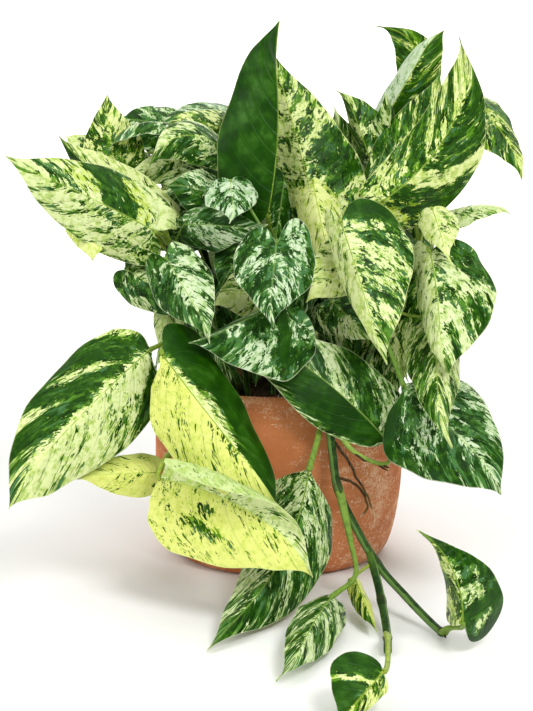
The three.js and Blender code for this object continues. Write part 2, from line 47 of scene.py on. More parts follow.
camera_data = bpy.data.cameras.new("camera")
camera_data.sensor_width = 36
camera_data.lens = CAMERA_LENS
camera = bpy.data.objects.new("camera", camera_data)
camera.location = CAMERA_PLACE
camera.rotation_euler = (math.radians(90 - CAMERA_PITCH), 0, 0)
bpy.context.scene.collection.objects.link(camera)
bpy.context.scene.camera = camera
bpy.context.scene.view_settings.view_transform = "Standard"
bpy.context.scene.view_settings.look = "None"


# ---- small helpers ----
def unit(v):
    v = np.asarray(v, float)
    return v / np.linalg.norm(v)


def linear(red, green, blue):
    """A colour given as 0 to 255 screen values, in the linear values that Blender wants."""

    def channel(value):
        value = value / 255
        return value / 12.92 if value <= 0.04045 else ((value + 0.055) / 1.055) ** 2.4

    return (channel(red), channel(green), channel(blue), 1.0)


def smooth_step(value, low, high):
    x = np.clip((value - low) / (high - low), 0, 1)
    return x * x * (3 - 2 * x)


def band(value, low, high, soft):
    """1 between low and high, fading to 0 round each of them."""
    return smooth_step(value, low - soft, low + soft) * (1 - smooth_step(value, high - soft, high + soft))


def lumps(points, scale, offset):
    """Smooth noise from -1 to 1 at each point of a list or grid of points."""
    flat = np.reshape(points, (-1, 3)) * scale + offset
    return np.array([noise.noise(Vector(p)) for p in flat]).reshape(np.shape(points)[:-1])


def around(turn, radius, height):
    """The point at an angle in radians, a radius and a height."""
    return (radius * math.cos(turn), radius * math.sin(turn), height)


def random_draw(seed):
    """A repeatable random draw between 0 and 1."""
    state = seed

    def draw():
        nonlocal state
        state = state * 48271 % 2147483647
        return state / 2147483647

    return draw


NONE = (0, 0, 0, 0)


class Build:
    """Collects points, faces and the values that the materials read, then makes one mesh object of them."""

    def __init__(self):
        self.points, self.faces, self.slots = [], [], []
        self.maps, self.look, self.blade = [], [], []
        self.count = 0

    def add(self, points, faces, slots=0, uv=(0, 0), look=NONE, blade=NONE):
        points = np.reshape(points, (-1, 3))
        self.points.append(points)
        self.faces += [tuple(int(i) + self.count for i in face) for face in faces]
        self.slots += np.broadcast_to(slots, len(faces)).tolist()
        for store, given, wide in ((self.maps, uv, 2), (self.look, look, 4), (self.blade, blade, 4)):
            store.append(np.broadcast_to(np.asarray(given, float), (len(points), wide)))
        self.count += len(points)

    def make(self, name, materials, slot_name, nodes=()):
        mesh = bpy.data.meshes.new(name)
        mesh.from_pydata((np.concatenate(self.points) * MM).tolist(), [], self.faces)
        for material in materials:
            mesh.materials.append(material)
        mesh.polygons.foreach_set("material_index", self.slots)
        mesh.polygons.foreach_set("use_smooth", [True] * len(self.faces))
        corners = np.empty(len(mesh.loops), int)
        mesh.loops.foreach_get("vertex_index", corners)
        layer = mesh.uv_layers.new(name="leaf")
        layer.data.foreach_set("uv", np.concatenate(self.maps)[corners].ravel())
        for label, values in (("look", self.look), ("blade", self.blade)):
            attribute = mesh.attributes.new(label, "FLOAT_COLOR", "POINT")
            attribute.data.foreach_set("color", np.concatenate(values).ravel())
        mesh.update()
        piece = bpy.data.objects.new(name, mesh)
        bpy.context.scene.collection.objects.link(piece)
        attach(piece, "root")
        if nodes:
            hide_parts(*nodes)


# ---- curves ----
class Spline:
    """A smooth run through points, read by a share from 0 to 1 as the solids read theirs.

    The power is 0.25 for a centripetal spline, which heeds the gaps between points, and 0 for an even one.
    """

    def __init__(self, points, power=0.25):
        self.points = [np.asarray(p, float) for p in points]
        self.power = power

    def at(self, share):
        pts = self.points
        spans = len(pts) - 1
        place = min(max(share, 0), 1) * spans
        i = min(int(place), spans - 1)
        w = place - i
        p1, p2 = pts[i], pts[i + 1]
        p0 = pts[i - 1] if i > 0 else 2 * pts[0] - pts[1]
        p3 = pts[i + 2] if i + 2 <= spans else 2 * pts[-1] - pts[-2]
        gaps = (np.sum((b - a) ** 2) for a, b in ((p0, p1), (p1, p2), (p2, p3)))
        d0, d1, d2 = (max(gap**self.power, 1e-4) for gap in gaps)
        t1 = ((p1 - p0) / d0 - (p2 - p0) / (d0 + d1) + (p2 - p1) / d1) * d1
        t2 = ((p2 - p1) / d1 - (p3 - p1) / (d1 + d2) + (p3 - p2) / d2) * d1
        c2 = -3 * p1 + 3 * p2 - 2 * t1 - t2
        c3 = 2 * p1 - 2 * p2 + t1 + t2
        return p1 + t1 * w + c2 * w**2 + c3 * w**3

    def run(self, steps):
        return np.array([self.at(k / steps) for k in range(steps + 1)])


def bezier(a, b, c, d, steps):
    t = np.linspace(0, 1, steps + 1)[:, None]
    return a * (1 - t) ** 3 + 3 * b * t * (1 - t) ** 2 + 3 * c * t**2 * (1 - t) + d * t**3


CHANNEL_SPREAD = 0.5
NEARLY_ALONG = 0.98
NUDGE = np.array([0.31, 0.17, 0.05])


def tube(path, radii, sides, up=(0, 1, 0), channel=0.0, flare=1.0):
    """A closed tube. channel is how deep a groove runs along its upper side; flare widens it sideways."""
    count = len(path)
    radii, flare = np.broadcast_to(radii, count), np.broadcast_to(flare, count)
    turns = 2 * math.pi * np.arange(sides) / sides
    from_top = np.arctan2(np.sin(turns), np.cos(turns))
    dip = 1 - channel * np.exp(-((from_top / CHANNEL_SPREAD) ** 2))
    normal = np.asarray(up, float)
    points = []
    for i in range(count):
        along = unit(path[min(i + 1, count - 1)] - path[max(i - 1, 0)])
        if abs(np.dot(unit(normal), along)) > NEARLY_ALONG:
            normal = normal + NUDGE
        normal = unit(normal - along * np.dot(normal, along))
        rise = np.outer(np.cos(turns) * radii[i] * dip, normal)
        points.append(path[i] + rise + np.outer(np.sin(turns) * radii[i] * flare[i], np.cross(along, normal)))
    faces = []
    for start in range(0, (count - 1) * sides, sides):
        for a, b in ((start + k, start + (k + 1) % sides) for k in range(sides)):
            faces.append((a, b, b + sides, a + sides))
    faces.append(tuple(range(sides))[::-1])
    faces.append(tuple(range((count - 1) * sides, count * sides)))
    return np.concatenate(points), faces


def turned_faces(rings, sides, downward=False):
    """Faces of a form turned about an axis: a first point, rings from the foot up, and a last point.

    Where the rings run from the top down, downward keeps the faces turned outwards.
    """
    faces = []
    last = 1 + rings * sides
    for k in range(sides):
        m = (k + 1) % sides
        faces.append((0, 1 + m, 1 + k))
        for p in range(1, last - sides, sides):
            faces.append((p + k, p + m, p + sides + m, p + sides + k))
        faces.append((last - sides + k, last - sides + m, last))
    return [(face[0], *face[:0:-1]) for face in faces] if downward else faces


# ---- leaf blades: the outline and folds of the solids, finely divided ----
# Rows from the notch to the tip: half width, place along, how far the lobe draws it back, place of its root
# on the midrib.
LEAF_ROWS = Spline([
    (0.04, 0.0, 0.0, 0.0),
    (0.19, 0.0, 0.72, 0.01),
    (0.4, 0.0, 1.0, 0.02),
    (0.63, 0.015, 0.9, 0.02),
    (0.84, 0.05, 0.5, 0.03),
    (1.0, 0.2, 0.0, 0.1),
    (0.9, 0.45, 0.0, 0.3),
    (0.57, 0.71, 0.0, 0.54),
    (0.31, 0.825, 0.0, 0.68),
    (0.125, 0.905, 0.0, 0.79),
    (0.045, 0.955, 0.0, 0.88),
    (0.0, 1.0, 0.0, 1.0),
], power=0)
TIP_OUT = 0.008


def leaf_frame(leaf):
    base, tip = np.array(leaf["base"], float), np.array(leaf["tip"], float)
    length = np.linalg.norm(tip - base)
    axis = (tip - base) / length
    face = np.array(leaf["face"], float)
    face = unit(face - axis * np.dot(face, axis))
    return base, axis, face, np.cross(axis, face), length


def ripple(share, waves, phase=0.0):
    return np.sin(2 * math.pi * waves * share + phase)


def half_blade(leaf, side, rows, across):
    """Points of one half, how far along each lies, how far out, and how far its row sweeps along."""
    base, axis, face, across_axis, length = leaf_frame(leaf)
    half = "right" if side > 0 else "left"
    draw = random_draw(leaf["seed"] * 7919 + 13)
    phases = [2 * math.pi * draw() for _ in range(6)][::-side]

    def value(key, default):
        return leaf.get(f"{key}_{half}", leaf.get(key, default))

    out, row_along, lobe_share, rib = (rows[:, k : k + 1] for k in range(4))
    a = across[None, :]
    edge = row_along + value("belly", 0) * row_along * (1 - row_along) - lobe_share * value("lobe", 0.1)
    along = rib + (edge - rib) * a
    out = out * (1 - leaf.get("point", 0.12) * smooth_step(edge, 0.35, 0.9))
    reach = out * (1 - leaf.get(f"neck_{half}", 0) * lobe_share) * a * leaf["width"]
    reach = reach * leaf.get(f"share_{half}", 1) / 2
    reach = reach * (1 + 0.022 * a * ripple(edge, 2.6, phases[0]))
    bend = 4 * along * (1 - along)
    hook = np.clip((along - 0.7) / 0.3, 0, 1) ** 2
    turn = np.radians(leaf.get("twist", 0)) * (along - 0.5)
    normal = face * np.cos(turn)[..., None] + across_axis * np.sin(turn)[..., None]
    sideways = across_axis * np.cos(turn)[..., None] - face * np.sin(turn)[..., None]
    fold = math.radians(leaf[half])
    roll = math.radians(value("curl", 20)) * a * out + 1e-6
    flat = (np.sin(fold + roll) - math.sin(fold)) / roll
    drop = (math.cos(fold) - np.cos(fold + roll)) / roll
    ruffle = leaf.get("ruffle", 1) * (1 - smooth_step(along, 0.75, 1.0))
    wave = 0.012 * a**2 * ripple(1.5 * along + 0.2 * side, 1)
    wave = wave + 0.014 * ruffle * a**2.5 * ripple(along, 1.9, phases[1])
    wave = wave + 0.008 * ruffle * a**4 * ripple(along, 4.6, phases[2])
    points = (
        base
        + axis * (along * length)[..., None]
        + face * ((leaf.get("arch", 0.06) * bend - leaf["droop"] * hook) * length)[..., None]
        + across_axis * ((leaf.get("bow", 0) * bend + leaf["hook"] * hook) * length)[..., None]
        + sideways * (side * reach * flat)[..., None]
        + normal * (wave * length - reach * drop)[..., None]
    )
    whole = 0 * a
    return points, (rib + edge) / 2 + whole, side * reach, edge - rib + whole


def blade_faces(high, wide, flip):
    """Faces of a blade's upper skin and margin, and of its lower skin. The tip is the last point."""
    number = high * wide
    end = 2 * number

    def skin(offset, flip):
        starts = [offset + i * wide + j for i in range(high) for j in range(wide - 1)]
        pairs = [(p, p + 1) for p in starts]
        quads = [(p, q, q + wide, p + wide) for p, q in pairs[: 1 - wide]]
        closing = [(p, q, end) for p, q in pairs[1 - wide :]]
        return [face[::-1] if flip else face for face in quads + closing]

    rows = range(0, number, wide)
    margin = [*range(wide), *(p + wide - 1 for p in rows[1:]), end, *rows[::-1]]
    rim = []
    for p, q in zip(margin, margin[1:]):
        below = [i if i == end else i + number for i in (p, q)]
        face = tuple(dict.fromkeys((q, p, *below)))
        rim.append(face[::-1] if flip else face)
    return skin(0, flip) + rim, skin(number, not flip)


# How the leaf's seed, the places on it and the phase of its veins are scaled for the materials.
SEED_SCALE = 100
PLACE_SCALE = 100
PHASE_SCALE = 20
BESIDE_RIB = 0.14


def blade_look(leaf, a, vein, sign):
    """For each point: its share of green, its warmth, the leaf's seed, and its share of lime."""

    def by_half(pair):
        return np.where(sign > 0, pair[1], pair[0])

    def zone(half, start, end, amount, inner=-0.2, outer=1.2):
        of_half = (sign > 0) == (half == "right")
        return of_half * band(vein, start, end, 0.03) * band(a, inner, outer, 0.1) * amount

    green = by_half(leaf["green"])
    beside = min(leaf["green"]) + BESIDE_RIB
    green = green + np.minimum(beside - green, 0) * (1 - smooth_step(a, 0, leaf.get("spill", 0.2)))
    green = green + sum(zone(*patch) for patch in leaf.get("zones", ()))
    lime = 0 * a + sum(zone(*patch) for patch in leaf.get("limes", ()))
    return np.stack([green, by_half(leaf["warm"]), leaf["seed"] / SEED_SCALE + 0 * a, lime], axis=2)


BLADE_THICKNESS = 0.7
QUILT = 0.0034
MIDRIB_GROOVE = 0.6
BLISTER = 0.5
SWELL = 1.1
VEIN_SLANT = 0.15


def blade(build, leaf, columns, row_count):
    """Adds the blade: two skins with vein furrows and blisters between them, joined round the margin."""
    _, _, face, across_axis, length = leaf_frame(leaf)
    shares = np.linspace(0, 1, row_count + 1)[:-1]
    rows = np.array([LEAF_ROWS.at(share) for share in shares])
    rows[:, 0] = np.maximum(rows[:, 0], TIP_OUT)
    half = np.concatenate([[0, 0.025, 0.06], np.linspace(0.12, 0.955, columns - 5), [0.985, 1.0]])
    other = half[:0:-1]
    halves = zip(half_blade(leaf, -1, rows, other), half_blade(leaf, 1, rows, half))
    grid, vein, out, span = (np.concatenate(pair, axis=1) for pair in halves)
    a = np.concatenate([other, half]) + 0 * vein
    sign = np.repeat([-1.0, 1.0], [len(other), len(half)]) + 0 * vein
    vein = vein + np.clip(span, 0, 0.3) * (a - a**1.6) - VEIN_SLANT * a**1.2 * rows[:, :1] ** 1.5
    normal = np.cross(np.gradient(grid, axis=0), np.gradient(grid, axis=1))
    normal /= np.linalg.norm(normal, axis=2, keepdims=True) + 1e-12
    if np.sum(normal @ face) < 0:
        normal = -normal

    phase = vein * (9 if length > 80 else 7) + 0.3 * (sign > 0)
    between = 0.5 - 0.5 * np.cos(2 * math.pi * phase)
    row_shares = shares[:, None]
    middle_part = smooth_step(a, 0.02, 0.3) * (1 - smooth_step(a, 0.75, 1.0))
    middle_part = middle_part * smooth_step(row_shares, 0.1, 0.25) * (1 - smooth_step(row_shares, 0.8, 1))
    relief = QUILT * length * (between**0.6 - 0.6) + BLISTER * lumps(grid, 0.1, leaf["seed"] * 3.7)
    lift = relief * leaf.get("quilt", 1) * middle_part
    swell = SWELL * min(length / 110, 1) * lumps(grid, 0.035, leaf["seed"] * 9.1)
    lift = lift + swell * smooth_step(a, 0, 0.5)
    groove = MIDRIB_GROOVE * np.exp(-((out / 1.2) ** 2)) * (1 - smooth_step(row_shares, 0.7, 1))
    thick = BLADE_THICKNESS / 2 * (1 - 0.55 * smooth_step(a, 0.85, 1.0))
    top = grid + normal * (lift - groove + thick)[..., None]
    under = grid + normal * (lift - thick)[..., None]
    tip = np.array(leaf["tip"], float) + (across_axis * leaf["hook"] - face * leaf["droop"]) * length

    high, wide = grid.shape[:2]
    i, j = high // 2, wide // 2
    flip = np.cross(grid[i, j + 1] - grid[i, j], grid[i + 1, j] - grid[i, j]) @ normal[i, j] < 0
    upper, lower = blade_faces(high, wide, flip)
    uv = np.stack([out, vein * length], axis=2) / PLACE_SCALE
    values = np.stack([a, phase / PHASE_SCALE, np.exp(-(out**2)), sign * 0.5 + 0.5], axis=2)
    look = blade_look(leaf, a, vein, sign)

    def twice(grid_values, at_tip):
        flat = grid_values.reshape(-1, grid_values.shape[2])
        return np.concatenate([flat, flat, [at_tip]])

    points = np.concatenate([top.reshape(-1, 3), under.reshape(-1, 3), [tip]])
    slots = [0] * len(upper) + [1] * len(lower)
    build.add(points, upper + lower, slots, twice(uv, (0, length / PLACE_SCALE)), twice(look, look[-1, -1]),
              twice(values, (1, 0, 0, 0.5)))
    return grid[:, j], normal[:, j]


PETIOLE_RADIUS = 1.7
PETIOLE_SIDES = 10


def petiole(build, leaf, stem_point, ribs, normals, look):
    """Adds the leaf stalk, from the stem to the notch and on under the blade as its fading midrib."""
    base, axis, face, _, _ = leaf_frame(leaf)
    size = PETIOLE_RADIUS * min(max(leaf["width"] / 70, 0.7), 1.15) * leaf.get("stalk", 1)
    if "via" in leaf:
        path = Spline([base, *leaf["via"][::-1], stem_point]).run(24)
    else:
        reach = np.linalg.norm(base - stem_point)
        leave = unit(unit(base - stem_point) + np.array([0, 0, 0.5]))
        arrive = unit(axis + face)
        path = bezier(base, base - arrive * reach * 0.33, stem_point + leave * reach * 0.38, stem_point, 24)
    share = np.linspace(0, 1, len(path))
    radii = size * (1.12 - 0.22 * smooth_step(share, 0, 0.5) + 0.12 * smooth_step(share, 0.85, 1))
    flare = 1 + 0.5 * (1 - smooth_step(share, 0.05, 0.45))
    steps = np.arange(1, int(len(ribs) * 0.82), 2)
    rib_radii = size * 0.62 * (1 - steps / (len(ribs) * 0.85)) ** 1.1 + 0.12
    under = ribs[steps] - normals[steps] * (0.3 + rib_radii * 0.75)[:, None]
    path = np.concatenate([path[::-1], under])
    radii = np.concatenate([radii, rib_radii])
    flare = np.concatenate([flare, np.ones(len(under))])
    points, faces = tube(path, radii, PETIOLE_SIDES, up=face, channel=0.28, flare=flare)
    build.add(points, faces, 2, look=look)


# ---- the leaves ----
def leaf(vine, at, base, tip, face, width, left, right, green, warm, **shape):
    """One leaf: its vine, its height on the stem, its form, and its colours for its own left and right half.

    left and right are the folds in degrees. green is the share of green; warm goes from 0 for white marbling
    to 1 for yellow. In zones the share of green changes, and in limes the pattern turns lime: each has its
    half, its start and end along the leaf, the amount, and where wanted its inner and outer edge.
    """
    green, warm = (value if isinstance(value, tuple) else (value, value) for value in (green, warm))
    return dict(vine=vine, at=at, base=base, tip=tip, face=face, width=width, left=left, right=right,
                green=green, warm=warm, **shape)


FRONT_LEAVES = [
    leaf("crown", 0.85, (-9, -65, 280), (-8, -48, 427), (0, -1, 0.1), 96, 8, 95, (1.3, 0.3), (0.9, 0.7),
         arch=0.03, bow=0.05, belly=0.5, share_right=0.75, quilt=2.0, hook=0.05, point=0.2, spill=0.02),
    leaf("crown", 1.0, (28, -40, 281), (-7, -5, 410), (0.1, -1, 0.1), 98, 50, 5, (0.34, 0.42), 0.75,
         arch=0.03, belly=-0.5, hook=0, zones=(("right", 0.06, 0.36, 0.6, 0.3, 0.95),)),
    leaf("right_top", 0.85, (86, 15, 354), (126, 10, 427), (0.2, -1, 0.2), 60, 60, 12, (0.1, 0.75),
         (0.05, 0.95), belly_right=0.4, share_left=0.8, hook=0.1, spill=0.05),
    leaf("right_top", 1.0, (116, 35, 366), (84, 30, 431), (0, -1, 0.3), 50, 25, 25, (0.75, 0.8), 0.95,
         bow=0.2, hook=-0.1),
    leaf("right_top", 0.7, (74, -4, 316), (51, 4, 378), (0, -1, 0.2), 56, 65, 10, (0.5, 0.62), 0.7,
         share_left=0.7, hook=-0.1),
    leaf("right_upper", 0.9, (75, -75, 290), (144, -45, 411), (0.15, -1, 0.25), 94, 40, 25, (0.5, 0.92),
         0.8, arch=0.05, bow=0.13, belly=0.3, lobe_left=0, lobe_right=0.15, share_left=0.8, hook=-0.06,
         zones=(("right", -0.4, -0.02, -0.55, 0.2), ("right", 0.22, 0.36, -0.75), ("right", 0.8, 1.1, -0.4),
         ("left", 0.3, 0.42, 0.4)), limes=(("right", -0.4, 0.06, 1),)),
    leaf("right_upper", 1.0, (86, -18, 305), (136, 12, 390), (0.2, -1, 0.3), 52, 20, 40, 0.6, 0.8),
    leaf("right_upper", 1.0, (146, -22, 372), (189, -42, 307), (0.5, -0.8, 0.3), 62, 15, 20, (0.55, 0.8),
         0.85, arch=0.1, lobe=0.02, share_right=0.8, hook=0.02, droop=0.01),
    leaf("right_side", 1.0, (130, -30, 280), (177, -60, 285), (0, -0.5, 0.9), 36, 15, 20, 0.2, 0.5,
         hook=0.08),
    leaf("right_side", 0.9, (112, -95, 287), (121, -130, 247), (0, -1, 0.4), 46, 25, 45, (0.12, 0.05), 0.75,
         belly=-0.7, point=0.5, share_right=0.8, ruffle=0.5),
    leaf("right_side", 0.75, (110, -105, 256), (114, -148, 172), (0.2, -1, 0.2), 104, 5, 65, (0.4, 0.25),
         (0.5, 0.6), arch=0.08, belly=0.2, lobe=0.15, share_right=0.5,
         zones=(("left", -0.4, 0.08, 0.55, 0.3), ("left", 0.35, 0.5, 0.4, 0.5))),
    leaf("right_lower", 1.0, (116, -80, 204), (109, -190, 130), (0, -0.7, 0.7), 52, 28, 28, (0.4, 0.5),
         0.65, arch=0.04, via=((96, -80, 206),), point=0.25),
    leaf("right_lower", 0.9, (92, -48, 226), (94, -72, 152), (-0.2, -1, 0.2), 40, 20, 25, 0.4, 0.7),
    leaf("right_lower", 0.75, (90, -125, 160), (161, -162, 92), (0.15, -1, 0.5), 92, 15, 8, (0.55, 0.74),
         0.12, belly=0.35, lobe=-0.04, neck_left=0.2, neck_right=0.6, via=((80, -84, 186),), hook=0.05,
         zones=(("right", -0.4, 0.1, 0.5, 0.2), ("right", 0.3, 0.42, -0.5, -0.2, 0.6))),
    leaf("center_right", 1.0, (44, -108, 278), (73, -148, 179), (0.1, -1, 0.15), 96, 5, 55, (0.4, 0.16),
         (0.62, 0.7), lobe=0.15, share_right=0.5, point=0.25, hook=-0.03,
         zones=(("left", -0.4, -0.03, 0.7, 0.2), ("left", 0.08, 0.18, 0.4, 0.3))),
    leaf("center_right", 0.85, (59, -80, 251), (18, -98, 220), (0.1, -1, -0.1), 50, 15, 20, 0.2, 0.8,
         point=0.3),
    leaf("center_right", 0.6, (39, -62, 215), (70, -88, 186), (0, -1, 0.3), 42, 20, 20, (0.75, 0.45), 0.5),
    leaf("center", 1.0, (-3, -122, 264), (-9, -152, 208), (0, -1, 0.2), 66, 15, 15, 0.62, 0.05,
         lobe_left=0.42, lobe_right=0.24, point=0.3, hook=-0.06, droop=0.08),
    leaf("center", 0.7, (6, -112, 221), (-64, -142, 191), (-0.1, -1, 0.25), 106, 5, 65, (0.7, 0.6), 0.1,
         belly=0.25, lobe=0.12, share_right=0.45, point=0.3, hook=0.05,
         zones=(("left", 0.1, 0.26, 0.4, -0.2, 0.8), ("left", 0.3, 0.5, -0.25, 0.5))),
    leaf("center", 0.8, (-10, -72, 226), (-52, -96, 217), (-0.1, -1, 0.3), 46, 20, 20, 0.22, 0.7, lobe=0.04,
         point=0.3),
    leaf("center", 0.95, (-37, -85, 307), (-33, -110, 278), (0, -1, 0.2), 46, 25, 15, 0.36, 0.0, lobe=0.2,
         point=0.35, hook=0.12),
    leaf("inner", 1.0, (-42, -30, 329), (-102, -45, 318), (-0.1, -1, 0.4), 50, 25, 25, (0.6, 0.5), 0.5,
         bow=0.26),
    leaf("inner", 0.95, (-43, -10, 311), (-111, -14, 308), (0, -0.9, 0.5), 34, 20, 20, 0.3, 0.5),
    leaf("inner", 0.85, (-38, -36, 292), (-88, -46, 304), (0, -1, 0.3), 52, 15, 20, (0.75, 0.55), 0.2),
    leaf("inner", 0.6, (-20, -46, 262), (-48, -74, 224), (0, -1, 0.2), 50, 20, 20, 0.85, 0.3),
    leaf("left_top", 0.8, (-38, -3, 342), (-92, 1, 350), (0, -0.85, 0.5), 50, 20, 20, (0.8, 0.5), 0.8,
         arch=0.14),
    leaf("left_top", 0.85, (-36, 15, 352), (-98, 20, 352), (0, -0.75, 0.65), 46, 15, 15, 0.5, 0.1,
         arch=0.14),
    leaf("left_top", 0.9, (-84, 28, 344), (-136, 38, 352), (0, -0.85, 0.5), 52, 15, 15, 0.6, 0.2,
         arch=0.12),
    leaf("left_top", 1.0, (-87, -6, 349), (-134, -30, 331), (-0.2, -0.3, 1), 30, 25, 25, (0.65, 0.4), 0.2,
         arch=0.16),
    leaf("left_top", 1.0, (-130, -15, 309), (-138, -8, 373), (0, -1, 0.3), 58, 20, 20, (0.5, 0.42), 0.85,
         point=0.3, hook=0.03),
    leaf("left_top", 0.95, (-145, 14, 328), (-175, 16, 338), (0, -0.8, 0.5), 28, 15, 15, 0.3, 0.7,
         hook=0.08),
    leaf("left_top", 0.9, (-104, 6, 310), (-126, 2, 328), (0, -0.8, 0.4), 30, 15, 15, (0.8, 0.5), 0.5),
    leaf("left", 1.0, (-94, -78, 269), (-205, -92, 324), (-0.1, -1, 0.35), 78, 28, 25, (0.3, 0.36), 0.62,
         arch=0.08, hook=0.02, droop=0, zones=(("right", 0.17, 0.42, 0.65), ("right", -0.3, 0.06, -0.2)),
         limes=(("right", 0.04, 0.2, 0.9), ("right", 0.42, 0.6, 0.8, 0.2))),
    leaf("left", 0.95, (-89, -48, 269), (-172, -52, 337), (-0.1, -1, 0.3), 58, 45, 25, (0.3, 0.08), 0.75,
         hook=0.04, zones=(("left", 0.7, 1.1, 0.8), ("right", 0.8, 1.1, 0.6))),
    leaf("left", 0.9, (-142, -66, 292), (-142, -84, 246), (-0.1, -1, 0.1), 66, 25, 25, (0.15, 0.25), 0.95,
         curl=30, point=0.35, limes=(("left", 0.1, 0.8, 0.6), ("right", 0.1, 0.8, 0.6))),
    leaf("left", 0.9, (-72, -62, 273), (-11, -95, 270), (0, -1, 0.4), 48, 20, 45, (0.7, 0.6), 0.1,
         hook=-0.1, point=0.25),
    leaf("left_mid", 1.0, (-84, -102, 251), (-47, -145, 197), (0, -1, 0.2), 56, 25, 25, (0.4, 0.55), 0.2,
         lobe=0.2, point=0.3, hook=0.06, zones=(("right", 0.1, 0.35, 0.4, 0.1, 0.8),)),
    leaf("left_mid", 0.9, (-119, -52, 238), (-60, -84, 204), (0, -1, 0.3), 46, 25, 20, (0.6, 0.5), 0.4,
         zones=(("right", 0.35, 0.6, 0.4),)),
    leaf("low_left", 1.0, (-95, -122, 186), (-195, -180, 86), (-0.15, -1, 0.3), 102, 32, 18, (0.16, 1.02),
         (0.65, 0.7), arch=0.08, belly=0.45, lobe_left=-0.03, lobe_right=0.03, share_left=0.88,
         neck_left=0.6, neck_right=0, hook=-0.04, droop=0, zones=(("right", -0.5, -0.04, -0.85, 0.15),
         ("right", 0.2, 0.27, -0.72, 0.2, 0.9), ("right", 0.4, 0.5, -0.72, 0.45),
         ("right", 0.56, 1.1, -0.6, -0.2, 0.3), ("right", 0.7, 1.1, -0.4, 0.2),
         ("left", 0.0, 0.14, 0.75, 0.35), ("left", 0.2, 0.27, 0.6, 0.6), ("left", 0.55, 0.62, 0.4, 0.5))),
    leaf("low_left", 0.85, (-84, -150, 187), (1, -191, 89), (-0.2, -1, 0.25), 90, 58, 5, (1.2, 0.1),
         (0.75, 1.0), twist=-30, belly=0.6, lobe_left=0.14, lobe_right=-0.04, neck_right=0.6, hook=0.03,
         droop=0, zones=(("left", 0.35, 0.75, -0.85, -0.2, 0.35), ("right", 0.62, 0.9, 0.2, -0.2, 0.5)),
         limes=(("right", 0.1, 0.5, 0.45, 0.0),)),
    leaf("low_yellow", 1.0, (-86, -165, 100), (25, -215, 51), (0, -1, 0.3), 100, 0, 5, (0.1, 0.08),
         (0.6, 1.0), bow=-0.08, belly=0.3, lobe=0, share_left=0.85, neck_right=0.3, hook=0.06, droop=0,
         curl_left=-170, ruffle=0.4, zones=(("right", 0.24, 0.42, 0.45, 0.15, 0.65),),
         limes=(("right", 0.1, 0.45, 0.7, -0.2, 0.5), ("left", 0.0, 0.4, 0.3))),
    leaf("low_yellow", 0.9, (-90, -135, 97), (-147, -150, 98), (-0.1, -1, 0.4), 40, 25, 25, 0.06, 1.0,
         limes=(("left", 0.0, 0.8, 0.5, -0.2, 0.8),)),
    leaf("trailing", 0.3, (21, -131, 98), (-54, -240, 5), (0.25, -0.65, 0.65), 82, 25, 45, (0.6, 0.5), 0.4,
         arch=-0.04, bow=-0.1, lobe=-0.02, stalk=1.3, via=((30, -106, 126),), hook=-0.03, droop=0,
         zones=(("left", 0.5, 1.1, 0.2),)),
    leaf("trailing", 0.38, (83, -108, 111), (-32, -102, 200), (0.1, -1, 0.35), 74, 0, 12, (1.2, 0.68),
         (0.4, 0.35), arch=0.04, bow=0.05, curl=8, belly_left=0.9, lobe_left=-0.04, lobe_right=0.05,
         neck_left=0.75, share_left=0.84, via=((54, -117, 109), (78, -125, 101)), hook=0, droop=0,
         spill=0.05, stalk_green=0.3, zones=(("left", -0.5, 0.5, -0.8, 0.84),
         ("right", 0.02, 0.12, -0.45, -0.2, 0.7), ("right", 0.22, 0.32, 0.35), ("right", 0.4, 0.5, -0.35))),
    leaf("trailing", 0.56, (35, -202, 26), (1, -306, 7), (0, -0.4, 1), 46, 45, 20, (0.48, 0.62),
         (0.35, 0.4), stalk=1.7, via=((51, -146, 49), (53, -174, 32)), hook=0.05, droop=0, point=0.2),
    leaf("trailing", 0.68, (53, -168, 28), (64, -216, 6), (0, -0.5, 0.8), 26, 50, 50, (0.1, 0.6), 1.0,
         limes=(("left", -0.4, 1.1, 1), ("right", -0.4, 0.4, 1)), droop=0),
    leaf("trailing", 1.0, (118, -252, 26), (90, -242, 87), (0, -1, 0.2), 80, 72, 25, (0.52, 0.85),
         (0.75, 0.5), bow=0.12, belly=-1.1, lobe_left=0.05, lobe_right=0.3, neck_right=-0.4,
         share_right=1.0, hook=-0.04, zones=(("right", -0.5, 0.05, 0.4, 0.0),
         ("right", -0.4, -0.08, -0.75, 0.2, 0.7), ("right", 0.1, 0.5, -0.3, 0.0, 0.7)),
         limes=(("left", 0.0, 1.1, 0.4),)),
    leaf("trailing", 0.75, (60, -330, 25), (31, -372, 11), (0, -0.8, 0.7), 54, 30, 5, (0.35, 1.12),
         (0.95, 0.8), arch=0.02, curl=5, lobe_left=-0.04, share_left=0.38, branch=True, hook=0, droop=0,
         stalk=1.5, stalk_green=0.2, zones=(("right", 0.28, 0.36, -0.85),)),
]

